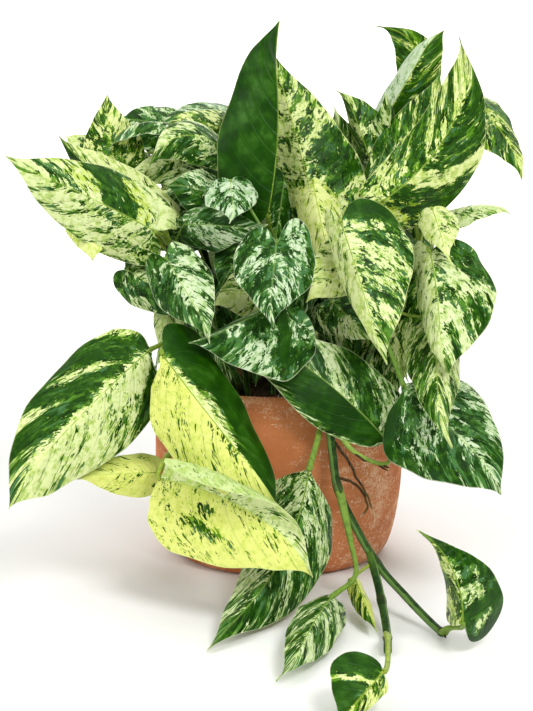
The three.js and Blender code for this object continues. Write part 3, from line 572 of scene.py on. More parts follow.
# Leaves deeper in the bush: vine, height on its stem, middle, heading of the tip, length, width, green, warm.
INNER_LEAVES = [
    ("crown", 0.5, (-2, -25, 272), 260, 70, 46, 0.8, 0.3),
    ("center_right", 0.8, (34, -50, 266), 282, 80, 44, 0.12, 0.95),
    ("right_upper", 0.6, (56, -30, 251), 270, 70, 50, 0.6, 0.6),
    ("center", 0.6, (16, -60, 222), 250, 66, 46, 0.8, 0.2),
    ("inner", 0.7, (-37, -30, 236), 240, 64, 44, 0.75, 0.2),
    ("inner", 0.9, (-52, -45, 274), 8, 84, 48, 0.75, 0.15),
    ("left", 0.7, (-70, -40, 212), 280, 60, 40, 0.65, 0.3),
    ("left_mid", 0.6, (-87, -50, 194), 262, 55, 34, 0.25, 0.6),
    ("low_left", 0.4, (-56, -58, 191), 292, 60, 38, 0.7, 0.3),
    ("right_lower", 0.6, (69, -38, 174), 280, 66, 48, 0.5, 0.6),
    ("right_side", 0.6, (94, -62, 192), 284, 80, 52, 0.35, 0.75),
    ("right_side", 0.35, (112, -78, 192), 274, 84, 54, 0.45, 0.7),
    ("right_side", 0.85, (97, -52, 251), 300, 64, 44, 0.65, 0.4),
    ("right_upper", 0.8, (73, -22, 297), 252, 70, 44, 0.75, 0.2),
    ("right_top", 0.65, (87, 0, 345), 98, 60, 40, 0.55, 0.5),
    ("left_top", 0.7, (-95, -15, 314), 200, 64, 42, 0.35, 0.6),
    ("left_top", 0.6, (-72, -22, 296), 212, 70, 46, 0.65, 0.3),
    ("left", 0.5, (-109, -38, 273), 205, 60, 40, 0.25, 0.8),
    ("inner", 0.5, (-26, -48, 210), 262, 60, 44, 0.8, 0.3),
    ("center_right", 0.5, (43, -52, 196), 298, 62, 42, 0.65, 0.4),
    ("right_top", 0.85, (54, 18, 334), 112, 60, 40, 0.5, 0.5),
    ("center", 0.35, (-14, -64, 178), 262, 58, 44, 0.85, 0.3),
    ("left_mid", 0.35, (-44, -64, 174), 284, 54, 40, 0.8, 0.3),
    ("right_lower", 0.45, (87, -52, 165), 276, 58, 46, 0.7, 0.5),
    ("right_side", 0.9, (110, -22, 254), 282, 66, 48, 0.55, 0.7),
]


# Leaves that hang over the bush's two sides and fill its top: vine, height on its stem, base, tip, width.
SIDE_LEAVES = [
    ("right_upper", 0.2, (94, 16, 192), (120, 26, 134), 56),
    ("right_upper", 0.4, (98, -6, 228), (122, -4, 162), 58),
    ("right_side", 0.4, (110, -28, 216), (134, -38, 152), 58),
    ("right_top", 0.35, (98, 44, 240), (122, 56, 172), 60),
    ("right_top", 0.55, (104, 18, 270), (130, 24, 206), 60),
    ("right_top", 0.7, (108, 44, 306), (128, 54, 246), 58),
    ("right_upper", 0.75, (100, -14, 274), (122, -10, 222), 50),
    ("left", 0.2, (-82, -4, 206), (-102, -2, 148), 54),
    ("left", 0.5, (-88, -26, 244), (-100, -26, 186), 54),
    ("left_top", 0.2, (-78, 34, 222), (-100, 42, 158), 58),
    ("left_top", 0.4, (-84, 8, 254), (-103, 6, 190), 58),
    ("left_top", 0.6, (-92, 34, 288), (-112, 42, 226), 58),
    ("left_top", 0.75, (-94, -2, 300), (-110, -6, 248), 50),
    ("back_3", 1.0, (4, 26, 314), (40, 0, 322), 48),
    ("back_4", 1.0, (-16, 22, 322), (-54, 18, 322), 48),
    ("inner", 0.95, (-30, -6, 300), (-8, 36, 292), 46),
    ("crown", 0.9, (14, -12, 266), (42, 22, 270), 48),
]


def side_foliage():
    draw = random_draw(2207)
    leaves = []
    for vine, at, base, tip, width in SIDE_LEAVES:
        steep = base[2] - tip[2] > 40
        face = (math.copysign(1, tip[0]), (draw() - 0.5) * 0.5, 0.5) if steep else (0.1, -0.1, 1)
        share = 0.25 + 0.55 * draw()
        folds = (14 + 16 * draw(), 14 + 16 * draw())
        green = (share, share + 0.15)
        leaves.append(leaf(vine, at, base, tip, face, width, *folds, green, draw(), lobe=0.14))
    return leaves


def inner_foliage():
    draw = random_draw(611)
    leaves = []
    for vine, at, middle, heading, length, width, green, warm in INNER_LEAVES:
        angle = math.radians(heading)
        half = np.array([math.cos(angle) * 0.5, 0, math.sin(angle) * 0.5]) * length
        half[1] = -8 - 8 * draw()  # the tip comes forward
        face = ((draw() - 0.5) * 0.6, -1, 0.1 + 0.4 * draw())
        share = green + (draw() - 0.5) * 0.3
        folds = (15 + 25 * draw(), 15 + 25 * draw())
        leaves.append(leaf(vine, at, middle - half, middle + half, face, width, *folds, (green, share), warm,
                           point=0.25, lobe=0.14))
    return leaves


# ---- the vines: where each stands in the soil and the way its stem runs ----
VINES = {
    "crown": dict(root=(-5, 5), stem=[(-8, 0, 180), (-5, -15, 235), (8, -28, 258)]),
    "right_top": dict(root=(40, 28), stem=[(58, 30, 200), (82, 26, 280), (96, 26, 335)]),
    "right_upper": dict(root=(55, 2), stem=[(66, -8, 190), (78, -25, 250), (88, -32, 282)]),
    "right_side": dict(root=(70, -20), stem=[(88, -26, 180), (104, -34, 235), (113, -45, 268)]),
    "right_lower": dict(root=(55, -48), stem=[(66, -60, 165), (76, -62, 190), (79, -58, 214)]),
    "center_right": dict(root=(28, -35), stem=[(34, -46, 190), (42, -60, 240), (46, -72, 262)]),
    "center": dict(root=(2, -50), stem=[(0, -58, 180), (-2, -70, 225), (-2, -84, 252)]),
    "inner": dict(root=(-26, -18), stem=[(-32, -22, 200), (-38, -24, 250), (-40, -20, 292)]),
    "left_top": dict(root=(-38, 18), stem=[(-55, 16, 220), (-72, 12, 290), (-84, 8, 328)]),
    "left": dict(root=(-58, -12), stem=[(-72, -24, 190), (-82, -38, 235), (-86, -50, 258)]),
    "left_mid": dict(root=(-52, -45), stem=[(-62, -46, 180), (-70, -48, 220), (-76, -56, 250)]),
    "low_left": dict(root=(-28, -62), stem=[(-34, -76, 160), (-44, -92, 178), (-60, -108, 190)]),
    "low_yellow": dict(
        root=(-46, -58), stem=[(-50, -74, 150), (-55, -93, 152), (-64, -116, 138), (-80, -138, 112)]
    ),
    "trailing": dict(
        root=(24, -68),
        thick=1.2,
        stem=[
            (27, -86, 150), (31, -99, 150), (37, -109, 120), (43, -114, 83), (67, -150, 37),
            (88, -176, 18), (104, -200, 6), (111, -214, 4),
        ],
        branch=(0.66, [(70, -184, 18), (72, -216, 6), (70, -246, 4)]),
        husks=[
            [(55, -118, 107.5), (59, -121, 105), (62, -122.5, 103), (65, -122.5, 102)],
            [(69, -123, 103), (73, -125.5, 100), (77, -126.5, 97.5), (80, -126, 96)],
            [(74, -124.5, 101), (77.5, -127, 99.5), (81, -127.5, 98.5)],
        ],
        roots=[
            [(38, -109, 117), (50, -114, 102), (57, -115, 88), (65, -116, 75), (71, -117, 57)],
            [(42, -113, 88), (52, -115, 85), (61, -115, 78), (65, -115, 64), (60, -114, 57)],
        ],
    ),
}

# Levels of leaves on a back vine: height on its stem, base radius and height, tip radius and height, width.
BACK_LEVELS = [
    (0.1, 96, 172, 148, 106, 76),
    (0.42, 92, 226, 152, 170, 74),
    (0.66, 84, 276, 146, 240, 70),
    (0.88, 56, 324, 118, 332, 70),
    (1.0, 28, 320, 44, 350, 40),
]


def back_foliage():
    """The vines spread round the rear, as in the solids, with leaves at rising levels."""
    draw = random_draw(17)
    tint = random_draw(905)

    def spread(amount):
        return (draw() * 2 - 1) * amount

    vines, leaves = {}, []
    for k in range(5):
        name = f"back_{k + 1}"
        turn = math.radians(46 + 22 * k)
        lift, push, left_out = (0, 0, 4) if k % 2 == 0 else (18, 24, 3)
        stem = [around(turn, 62, 190), around(turn, 58, 250), around(turn, 40, 300 + lift)]
        vines[name] = dict(root=around(turn, 58, 0)[:2], stem=stem)
        for j, (at, base_radius, base_height, tip_radius, tip_height, width) in enumerate(BACK_LEVELS):
            if j == left_out:
                continue
            swing = 5 if (j + k) % 2 == 0 else -5
            tip_turn = turn + math.radians(swing + spread(3))
            tip = around(tip_turn, tip_radius + push + spread(4), tip_height + lift)
            width = width + spread(4)
            share = 0.3 + 0.4 * tint()
            warm = tint()
            green = (share, 1.1) if tint() < 0.2 else (share, share + 0.1)
            base = around(turn, base_radius + push, base_height + lift)
            face = around(turn, 1, 0.6 if j < 3 else 1.2)
            leaves.append(leaf(name, at, base, tip, face, width, 22, 22, green, warm))
    return vines, leaves


# ---- materials ----
class Value:
    """A number or colour in a material, so that patterns are written as sums."""

    def __init__(self, nodes, socket):
        self.nodes = nodes
        self.socket = socket

    def __add__(self, other):
        return self.nodes.math("ADD", self, other)

    def __sub__(self, other):
        return self.nodes.math("SUBTRACT", self, other)

    def __rsub__(self, other):
        return self.nodes.math("SUBTRACT", other, self)

    def __mul__(self, other):
        return self.nodes.math("MULTIPLY", self, other)

    def swing(self, size):
        """Noise, which lies around a half, as a change of this size in all, up or down."""
        return self.nodes.math("MULTIPLY_ADD", self, size, -0.5 * size)

    def step(self, low, high, to_low=0.0, to_high=1.0):
        """A smooth change from to_low to to_high, as the value goes from low to high."""
        node = self.nodes.add("ShaderNodeMapRange", interpolation_type="SMOOTHSTEP")
        for value, socket in zip((self, low, high, to_low, to_high), node.inputs):
            self.nodes.put(value, socket)
        return self.nodes.value(node)


class Nodes:
    """Short ways to add and join shader nodes in one material."""

    def __init__(self, name):
        self.material = bpy.data.materials.new(name)
        self.material.use_nodes = True
        self.tree = self.material.node_tree
        self.tree.nodes.clear()
        self.output = self.add("ShaderNodeOutputMaterial")

    def add(self, kind, **settings):
        node = self.tree.nodes.new(kind)
        for key, value in settings.items():
            setattr(node, key, value)
        return node

    def value(self, node, name=0):
        return Value(self, node.outputs[name])

    def put(self, value, socket):
        if isinstance(value, Value):
            self.tree.links.new(value.socket, socket)
        else:
            socket.default_value = value

    def math(self, operation, *values):
        node = self.add("ShaderNodeMath", operation=operation)
        for value, socket in zip(values, node.inputs):
            self.put(value, socket)
        return self.value(node)

    def join(self, x, y, z):
        node = self.add("ShaderNodeCombineXYZ")
        for value, socket in zip((x, y, z), node.inputs):
            self.put(value, socket)
        return self.value(node)

    def split(self, vector):
        node = self.add("ShaderNodeSeparateXYZ")
        self.put(vector, node.inputs[0])
        return [self.value(node, axis) for axis in "XYZ"]

    def place(self):
        """Where a point lies on the object, in metres."""
        return self.value(self.add("ShaderNodeTexCoord"), "Object")

    def values(self, name):
        """The four numbers of an attribute of the mesh."""
        node = self.add("ShaderNodeAttribute", attribute_name=name, attribute_type="GEOMETRY")
        parts = self.add("ShaderNodeSeparateColor")
        self.put(self.value(node, "Color"), parts.inputs[0])
        return [self.value(parts, k) for k in range(3)] + [self.value(node, "Alpha")]

    def noise(self, vector, scale, detail, rough=0.5):
        node = self.add("ShaderNodeTexNoise")
        for name, value in (("Vector", vector), ("Scale", scale), ("Detail", detail), ("Roughness", rough)):
            self.put(value, node.inputs[name])
        return self.value(node)

    def cells(self, vector):
        """Distance to the nearest of scattered points, and a random number for each point."""
        node = self.add("ShaderNodeTexVoronoi", voronoi_dimensions="2D", feature="F1")
        self.put(vector, node.inputs["Vector"])
        node.inputs["Scale"].default_value = 1.0
        return self.value(node, "Distance"), self.split(self.value(node, "Color"))[0]

    def mix(self, share, a, b):
        node = self.add("ShaderNodeMix", data_type="RGBA")
        for value, socket in ((share, 0), (a, 6), (b, 7)):
            self.put(value, node.inputs[socket])
        return self.value(node, 2)

    def bump(self, height, strength, distance):
        node = self.add("ShaderNodeBump")
        for name, value in (("Strength", strength), ("Distance", distance), ("Height", height)):
            self.put(value, node.inputs[name])
        return self.value(node)

    def surface(self, colour, rough, normal=None, specular=0.5):
        """Joins the shader to the output."""
        node = self.add("ShaderNodeBsdfPrincipled")
        node.inputs["Specular IOR Level"].default_value = specular
        self.put(colour, node.inputs["Base Color"])
        self.put(rough, node.inputs["Roughness"])
        if normal:
            self.put(normal, node.inputs["Normal"])
        self.tree.links.new(node.outputs[0], self.output.inputs[0])
        return self.material


# Pairs go from white marbling, cool, to yellow marbling, warm.
CREAM = (linear(196, 214, 182), linear(224, 232, 150))
PALE = (linear(136, 176, 110), linear(174, 199, 50))
MID = (linear(66, 114, 54), linear(88, 138, 12))
DARK = (linear(22, 60, 10), linear(32, 74, 0))
PLAIN = (linear(17, 55, 0), linear(32, 77, 0))
RIB = (linear(196, 216, 160), linear(206, 222, 116))
MARGIN = (linear(222, 232, 198), linear(224, 234, 150))
UNDERSIDE = (linear(150, 184, 130), linear(176, 200, 96))
YELLOW = linear(220, 226, 126)
DEEP = linear(12, 42, 0)
LIME = linear(190, 210, 42)
SLATE = linear(66, 110, 64)
CLOUD = linear(66, 116, 10)
# Painted sheen: a paler grey-green laid between the veins of dark areas, standing in for glints off the
# quilted blade.
PAINTED_SHEEN = linear(82, 128, 52)

SEED_SPACING = 731.0


def leaf_material(name, underside):
    """Marbling in torn flecks that follow the side veins, with a pale midrib and margin, and a painted sheen
    between the veins of the dark areas.
    """
    n = Nodes(name)
    green, warm, seed, lime = n.values("look")
    a, phase, rib, _ = n.values("blade")
    x, y, _ = n.split(n.value(n.add("ShaderNodeUVMap", uv_map="leaf")))
    lift = seed * SEED_SPACING
    place = n.join(x, y, lift)
    x2 = x + n.noise(place, 12, 2).swing(0.08)
    y2 = y + n.noise(place, 7, 2).swing(0.12)

    def spots(across, along, offset, detail, rough):
        return n.noise(n.join(x2 * across, y2 * along, lift + offset), 1, detail, rough)

    region = spots(6.5, 7.5, 11.3, 2, 0.6)
    patch = spots(25, 27, 31.7, 3, 0.62)
    fleck = spots(64, 80, 57.1, 1, 0.6)
    tone = spots(15, 16, 101.3, 3, 0.6)
    island = spots(12, 12, 211.9, 3, 0.6)
    px, py, pz = n.split(n.place())
    spot = n.join(px + lift, py, pz)
    cloud = n.noise(spot, 190, 4, 0.62)
    # The bloom noise varies the plain green's tone and also places the painted sheen.
    bloom = n.noise(spot, 60, 2, 0.6)
    ragged = n.noise(place, 130, 1)
    fine = n.noise(place, 160, 3, 0.6)

    def dashes(across, along, offset, share):
        """Dashes along the side veins: the larger share is, the more of them there are and the longer."""
        distance, pick = n.cells(n.join(x2 * across + (lift * 3.7 + offset), y2 * along + offset, 0))
        size = pick * 0.6 + (share * 0.6 - 0.58) + ragged.swing(0.3)
        return (size - distance).step(0, 0.05)

    # How green each point is, with sharp edges round the darker areas.
    field = green + region.step(0.43, 0.57, -0.22, 0.22) + patch.swing(1.5) + fleck.swing(0.95)
    dark = field.step(0.485, 0.52)
    near = field.step(0.3, 0.5)

    cream = n.mix(warm.step(0.95, 1), n.mix(warm, *CREAM), YELLOW)
    pale = n.mix(lime * 0.8, n.mix(warm, *PALE), LIME)
    mid = n.mix(lime * 0.5, n.mix(warm, *MID), LIME)
    mid = n.mix(island.step(0.49, 0.53), mid, SLATE)
    leafy = n.mix(cloud.step(0.46, 0.68, 0, 0.55), n.mix(warm, *DARK), CLOUD)

    # The light areas: cream, veiled with paler greens, under small and large dashes.
    soft = warm.step(0.94, 1, 1, 0.5)
    veil = (cloud.swing(2) + (near * 0.4 + lime * 0.2)).step(-0.1, 0.3, 0, 0.8)
    ground = n.mix(veil * soft, cream, pale)
    half = (cloud.swing(1.4) + fleck.swing(1) + near).step(0.77, 0.9)
    ground = n.mix(half * 0.7 * soft, ground, mid)
    spread = field * 0.8 + cloud.swing(1.3)
    small = dashes(40, 66, 13.1, spread + 0.3)
    ground = n.mix(small * 0.85, ground, n.mix(cloud.step(0.4, 0.6), leafy, mid))
    ground = n.mix(dashes(11.5, 26, 47.7, spread + 0.27), ground, leafy)

    # The dark areas: two greens and deep spots, torn by pale dashes, or plain green all over.
    shade = n.mix((tone.swing(2.2) + field * 0.5).step(0.18, 0.36), mid, leafy)
    shade = n.mix((tone.swing(1.5) + fleck.swing(0.5)).step(0.08, 0.22), shade, DEEP)
    torn = cloud.swing(1.5) + 0.98 - field
    shade = n.mix(dashes(52, 72, 71.9, torn) * 0.85, shade, pale)
    solid = green.step(0.95, 1.15)
    shade = n.mix(solid, shade, n.mix(bloom.step(0.35, 0.65), *PLAIN))
    near_vein = n.math("PINGPONG", phase * PHASE_SCALE, 0.5)
    # Painted sheen: paler grey-green between the veins on the dark areas, where glints off the quilted blade
    # would be.
    painted_sheen = bloom.step(0.48, 0.68) * near_vein.step(0.05, 0.3) * cloud.step(0.35, 0.65, 0.05, 0.36)
    shade = n.mix(painted_sheen, shade, PAINTED_SHEEN)

    colour = n.mix(dark, ground, shade)
    vein = (1 - near_vein.step(0, 0.09)) * (1 - a.step(0.45, 0.95))
    colour = n.mix(vein * 0.12, colour, mid)
    rib_tone = n.mix(dark, n.mix(warm, *RIB), n.mix(0.45, leafy, pale))
    colour = n.mix(rib.step(0.3, 0.85) * 0.7, colour, rib_tone)
    edge = solid * -0.3 + (dark * -0.2 + 0.75)
    colour = n.mix(a.step(0.98, 0.996) * edge, colour, n.mix(warm, *MARGIN))
    if underside:
        colour = n.mix(0.45, colour, n.mix(warm, *UNDERSIDE))
        normal = n.bump(fine * 0.25 + vein, 0.5, 0.0006)
        return n.surface(colour, 0.6, normal, 0.3)
    height = vein * -0.7 + n.noise(place, 48, 2) * 0.5 + fine * 0.12 + patch * 0.35
    normal = n.bump(height, 0.5, 0.0009)
    return n.surface(colour, fine.step(0.3, 0.7, 0.3, 0.42), normal, 0.1)


def stalk_material():
    """Petioles: fresh yellow-green, mottled, darker on the greener leaves."""
    n = Nodes("petiole")
    green, warm, _, _ = n.values("look")
    place = n.place()
    pale = n.mix(warm, linear(138, 172, 84), linear(168, 184, 66))
    fresh = n.mix(warm, linear(70, 114, 26), linear(96, 134, 28))
    leafy = green * 0.9 + 0.05
    mottle = n.noise(place, 180, 4, 0.65).step(0.48, 0.62)
    colour = n.mix(mottle * 0.4, n.mix(leafy, pale, fresh), linear(58, 92, 24))
    normal = n.bump(n.noise(place, 900, 2), 0.2, 0.0004)
    return n.surface(colour, 0.45, normal, 0.2)


def stem_material():
    """Vine stems: dark green with paler streaks, and brown rings where leaves were attached."""
    n = Nodes("stem")
    ring, tone, streak, _ = n.values("blade")
    place = n.place()
    mottle = n.noise(place, 120, 4, 0.65)
    colour = n.mix(mottle.step(0.4, 0.6), linear(20, 46, 12), linear(46, 78, 26))
    lines = (streak + mottle.swing(0.9)).step(0.5, 0.72)
    colour = n.mix(lines * 0.7, colour, linear(112, 148, 76))
    colour = n.mix(tone.step(0.6, 0.8) * 0.5, colour, linear(100, 140, 50))
    scar = ring * n.noise(place, 420, 3, 0.6).step(0.3, 0.6)
    colour = n.mix(scar, colour, linear(58, 48, 26))
    normal = n.bump(n.noise(place, 600, 3, 0.6) + ring * 0.6, 0.35, 0.0005)
    return n.surface(colour, 0.5, normal, 0.15)


def root_material():
    """Aerial roots: dark brown bark, with a pale growing tip."""
    n = Nodes("aerial_root")
    share = n.values("blade")[0]
    mottle = n.noise(n.place(), 300, 4, 0.65)
    colour = n.mix(mottle.step(0.35, 0.65), linear(38, 26, 12), linear(76, 58, 34))
    colour = n.mix(share.step(0.5, 0.85, 0, 0.6), colour, linear(112, 98, 52))
    colour = n.mix(share.step(0.86, 0.94), colour, linear(200, 158, 122))
    return n.surface(colour, 0.7, n.bump(mottle, 0.5, 0.0005), 0.2)


def terracotta_material():
    """Fired clay with cloudy tones, lime bloom in patches, fine pale scratches and pores, and a painted
    lighter side at the viewer's right.
    """
    n = Nodes("terracotta")
    place = n.place()
    x, y, z = n.split(place)

    def stretched(flat, tall, offset, detail, rough):
        return n.noise(n.join(x * flat + offset, y * flat, z * tall), 1, detail, rough)

    colour = n.mix(n.noise(place, 12, 4, 0.6).step(0.34, 0.66), linear(178, 100, 54), linear(204, 130, 82))
    bands = stretched(6, 80, 0, 3, 0.6)
    colour = n.mix(bands.step(0.45, 0.68) * 0.3, colour, linear(150, 76, 42))

    # Bloom gathers at the rim and at the foot. Towards the viewer's right it spreads wider as painted light,
    # making the side the key lamp lights paler.
    bloom = n.noise(place, 22, 5, 0.68).swing(1.4) + stretched(60, 190, 3, 4, 0.7).swing(1.1)
    at_rim_and_foot = z.step(0.1, 0.142, 0, 0.13) + z.step(0, 0.03, 0.08, 0)
    # Painted lighter side: the term in x makes bloom and dust paler towards the viewer's right, where the
    # light falls.
    bloom = bloom + (x.step(0, 0.09, 0, 0.12) + at_rim_and_foot)
    colour = n.mix(bloom.step(0.17, 0.4) * 0.34, colour, linear(222, 172, 134))
    dusty = (n.noise(place, 640, 3, 0.65).swing(1.6) + bloom).step(0.2, 0.34)
    colour = n.mix(dusty * 0.55, colour, linear(226, 186, 150))

    scratch = stretched(520, 170, 5, 2, 0.5).step(0.64, 0.69)
    nick = stretched(150, 900, 9, 2, 0.5).step(0.65, 0.7)
    marks = n.math("MAXIMUM", scratch, nick) * bloom.step(0, 0.2)
    colour = n.mix(marks * 0.85, colour, linear(238, 212, 186))
    pores = n.noise(place, 1100, 3, 0.6)
    colour = n.mix(pores.step(0.62, 0.75) * 0.35, colour, linear(112, 56, 32))
    inside = n.values("blade")[0]
    colour = n.mix(inside * 0.55, colour, linear(198, 142, 122))
    normal = n.bump(pores * 0.5 + bands * 0.7 + marks * 0.3, 0.45, 0.0008)
    return n.surface(colour, 0.86, normal, 0.25)


def soil_material(name, dark, light):
    """Loose grains in two tones, with duller areas."""
    n = Nodes(name)
    place = n.place()
    grains = n.noise(place, 420, 5, 0.7)
    colour = n.mix(grains.step(0.35, 0.68), dark, light)
    colour = n.mix(n.noise(place, 60, 2).step(0.4, 0.7, 0, 0.4), colour, dark)
    return n.surface(colour, 0.95, n.bump(grains, 0.8, 0.0015), 0.2)


UPPER = leaf_material("leaf_upper", False)
UNDER = leaf_material("leaf_underside", True)
STALK = stalk_material()
STEM = stem_material()
ROOT = root_material()
TERRACOTTA = terracotta_material()
SOIL = soil_material("soil", linear(30, 22, 14), linear(84, 62, 42))
CRUMB = soil_material("soil_crumb", linear(44, 31, 20), linear(112, 84, 58))
PERLITE = soil_material("perlite", linear(168, 160, 146), linear(226, 222, 210))
FLOOR = Nodes("pale_floor").surface(linear(243, 243, 241), 0.85)

# ---- pot ----
SOIL_TOP = 128
POT_SIDES = 144
OUTER_WALL = [
    (60, 0), (81, 0), (86, 2), (90.5, 7), (93.8, 15), (96.4, 25), (98.8, 38), (101, 54), (102, 74), (102, 92),
    (101, 112), (99, 130), (97.5, 142),
]
INNER_WALL = [(90.5, 142), (92, 124), (95, 84), (92, 42), (82, 16), (72, 10)]
FLOOR_INSIDE = (30, 10)
LIP_MIDDLE = (94, 141.5)
LIP_RADIUS = 3.5
WORN_ABOVE = 3
WORN_BEYOND = 60


def smooth_profile(points, steps):
    return Spline([(r, z, 0) for r, z in points]).run(steps)[:, :2].tolist()


def pot_piece():
    """The turned wall with its rolled lip, slightly worn all round."""
    middle, height = LIP_MIDDLE
    lip = [
        (middle + LIP_RADIUS * math.sin(t), height + LIP_RADIUS * math.cos(t))
        for t in np.linspace(math.pi / 2, -math.pi / 2, 13)[1:-1]
    ]
    outside = OUTER_WALL[:1] + smooth_profile(OUTER_WALL[1:], 64) + lip
    profile = outside + smooth_profile(INNER_WALL, 36) + [FLOOR_INSIDE]
    points = [(0, 0, 0)]
    for radius, height in profile:
        for turn in np.arange(POT_SIDES) * 2 * math.pi / POT_SIDES:
            spot = Vector(around(turn, 2.1, height * 0.03))
            worn = abs(noise.noise(spot) * 0.35 + noise.noise(spot * 6) * 0.1)
            if height <= WORN_ABOVE or radius <= WORN_BEYOND:
                worn = 0
            points.append(around(turn, radius - worn, height))
    points.append((0, 0, FLOOR_INSIDE[1]))
    inside = np.zeros((len(points), 4))
    inside[1 + len(outside) * POT_SIDES :, 0] = 1
    build = Build()
    build.add(points, turned_faces(len(profile), POT_SIDES), blade=inside)
    build.make("terracotta_pot", [TERRACOTTA], "terracotta", ["pot"])


SOIL_RADIUS = 90.6
SOIL_RINGS = 44
SOIL_SIDES = 120
CRUMB_TRIES = 1100
CRUMB_RINGS = ((-0.7, 0.6), (0.0, 1.0), (0.75, 0.55))
CRUMB_SHARE = 0.93


def soil_height(x, y):
    spot = Vector((x, y, 0))
    lump = noise.noise(spot * 0.045) * 1.8 + noise.noise(spot * 0.13) * 1.5 + noise.noise(spot * 0.4) * 0.8
    away = math.hypot(x, y) / SOIL_RADIUS
    return SOIL_TOP + 1.2 * (1 - away**2) + lump * (1 - smooth_step(away, 0.93, 1.0)) - 0.4


def soil_piece():
    """A lumpy top of soil in the pot's mouth, closed by a smooth underside."""
    turns = np.arange(SOIL_SIDES) * 2 * math.pi / SOIL_SIDES
    points = [(0, 0, SOIL_TOP)]
    for i in range(1, SOIL_RINGS + 1):
        for x, y, _ in (around(turn, SOIL_RADIUS * i / SOIL_RINGS, 0) for turn in turns):
            points.append((x, y, soil_height(x, y)))
    points += [around(turn, 88, 60) for turn in turns] + [(0, 0, 60)]
    build = Build()
    build.add(points, turned_faces(SOIL_RINGS + 1, SOIL_SIDES, downward=True))
    build.make("potting_soil", [SOIL], "soil", ["soil"])


def crumb_pieces(stems):
    """Loose crumbs on the soil, away from the stems, with a few white perlite grains."""
    draw = random_draw(4021)
    build = Build()
    for _ in range(CRUMB_TRIES):
        r = 88.5 * math.sqrt(draw())
        x, y, _ = around(2 * math.pi * draw(), r, 0)
        size = 0.5 + 1.7 * draw() ** 2
        turn, pick = draw() * 6.28, draw()
        if any(math.hypot(x - sx, y - sy) < 4.5 + size for sx, sy in stems):
            continue
        shape = []
        for ring_z, ring_r in CRUMB_RINGS:
            for k in range(5):
                wobble = ring_r * size * (0.75 + 0.5 * draw())
                corner = around(turn + 2 * math.pi * k / 5 + ring_z, wobble, ring_z * size * 0.8 + 0.2 * size)
                shape.append(np.add(corner, (x, y, soil_height(x, y))))
        pairs = [(b + k, b + (k + 1) % 5) for b in (0, 5) for k in range(5)]
        faces = [(p, q, q + 5, p + 5) for p, q in pairs] + [(4, 3, 2, 1, 0), (10, 11, 12, 13, 14)]
        build.add(shape, faces, 1 if pick > CRUMB_SHARE else 0)
    build.make("soil_crumbs", [CRUMB, PERLITE], "soil")


# ---- stems, leaves and roots ----
# Radius at a stem's foot, and as a share of it, at every stem's end and at a branch's foot.
STEM_RADIUS = 3.1
END_SHARE = 0.75
BRANCH_SHARE = 0.85
STEM_SIDES = 14
BIG_LEAF = 75


def stem_curve(vine):
    x, y = vine["root"]
    foot = [(x, y, z) for z in (SOIL_TOP - 13, SOIL_TOP + 2, SOIL_TOP + 8)]
    return Spline(foot + vine["stem"])


def above_soil(curve, height):
    """The share of a stem's curve at a height from 0 at the soil to 1 at the end."""
    start = 1 / (len(curve.points) - 1)
    return start + height * (1 - start)


def stem_tube(build, curve, thick, thin, nodes, seed):
    """A stem that swells and carries a scarred ring at each node."""
    length = np.sum(np.linalg.norm(np.diff(curve.run(40), axis=0), axis=1))
    steps = max(int(length / 2.4), 30)
    path = curve.run(steps)
    share = np.linspace(0, 1, steps + 1)
    radii = thick + (thin - thick) * share
    ring = np.zeros(steps + 1)
    for place in nodes:
        gap = (share - place) * length
        radii = radii * (1 + 0.22 * np.exp(-((gap / 3.2) ** 2)))
        ring = np.maximum(ring, np.exp(-((gap / 1.3) ** 2)))
    seen_flat = path[:, [0, 2, 1]] * (1, 1, 0)
    bend = np.stack([lumps(seen_flat, 0.04, (axis * 7, 0, seed)) for axis in range(3)], axis=1)
    ease = smooth_step(share, 0.0, 0.25) * (1 - smooth_step(share, 0.85, 1.0))
    path = path + bend * 1.2 * ease[:, None]
    points, faces = tube(path, radii * 0.98, STEM_SIDES)
    tone = 0.5 + 0.5 * lumps(path, 0.02, seed)
    lines = [0.5 + 0.5 * math.sin(seed * 3 + 2.4 * k * (1 + k % 3)) for k in range(STEM_SIDES)]
    ring, tone, share = (np.repeat(values, STEM_SIDES) for values in (ring, tone, share))
    build.add(points, faces, blade=np.stack([ring, tone, np.tile(lines, steps + 1), share], axis=1))


def nub(build, place, out, size):
    """A short blunt root that has just broken through at a node."""
    path = np.array([place + unit(out) * size * t for t in (0, 0.6, 1.2, 1.7, 2.0)])
    points, faces = tube(path, size * np.array([0.75, 0.7, 0.55, 0.35, 0.1]), 8)
    build.add(points, faces, 1)


def aerial_root(points, number):
    """A thin, slightly wavy root. Its share along is kept for its material."""
    line = Spline(points).run(48)
    share = np.linspace(0, 1, len(line))
    spots = np.outer(share * 9 + 5 * number, (1, 0, 0))
    wiggle = np.stack([lumps(spots, 1, (0, axis * 3.1, 2)) for axis in range(3)], axis=1)
    line = line + wiggle * 1.1 * smooth_step(share, 0, 0.2)[:, None]
    radii = 1.25 * (1 - 0.45 * share) * (1 + 0.06 * np.sin(share * 60))
    skin, faces = tube(line, radii, 9)
    build = Build()
    build.add(skin, faces, blade=np.repeat(share, 9)[:, None])
    return build


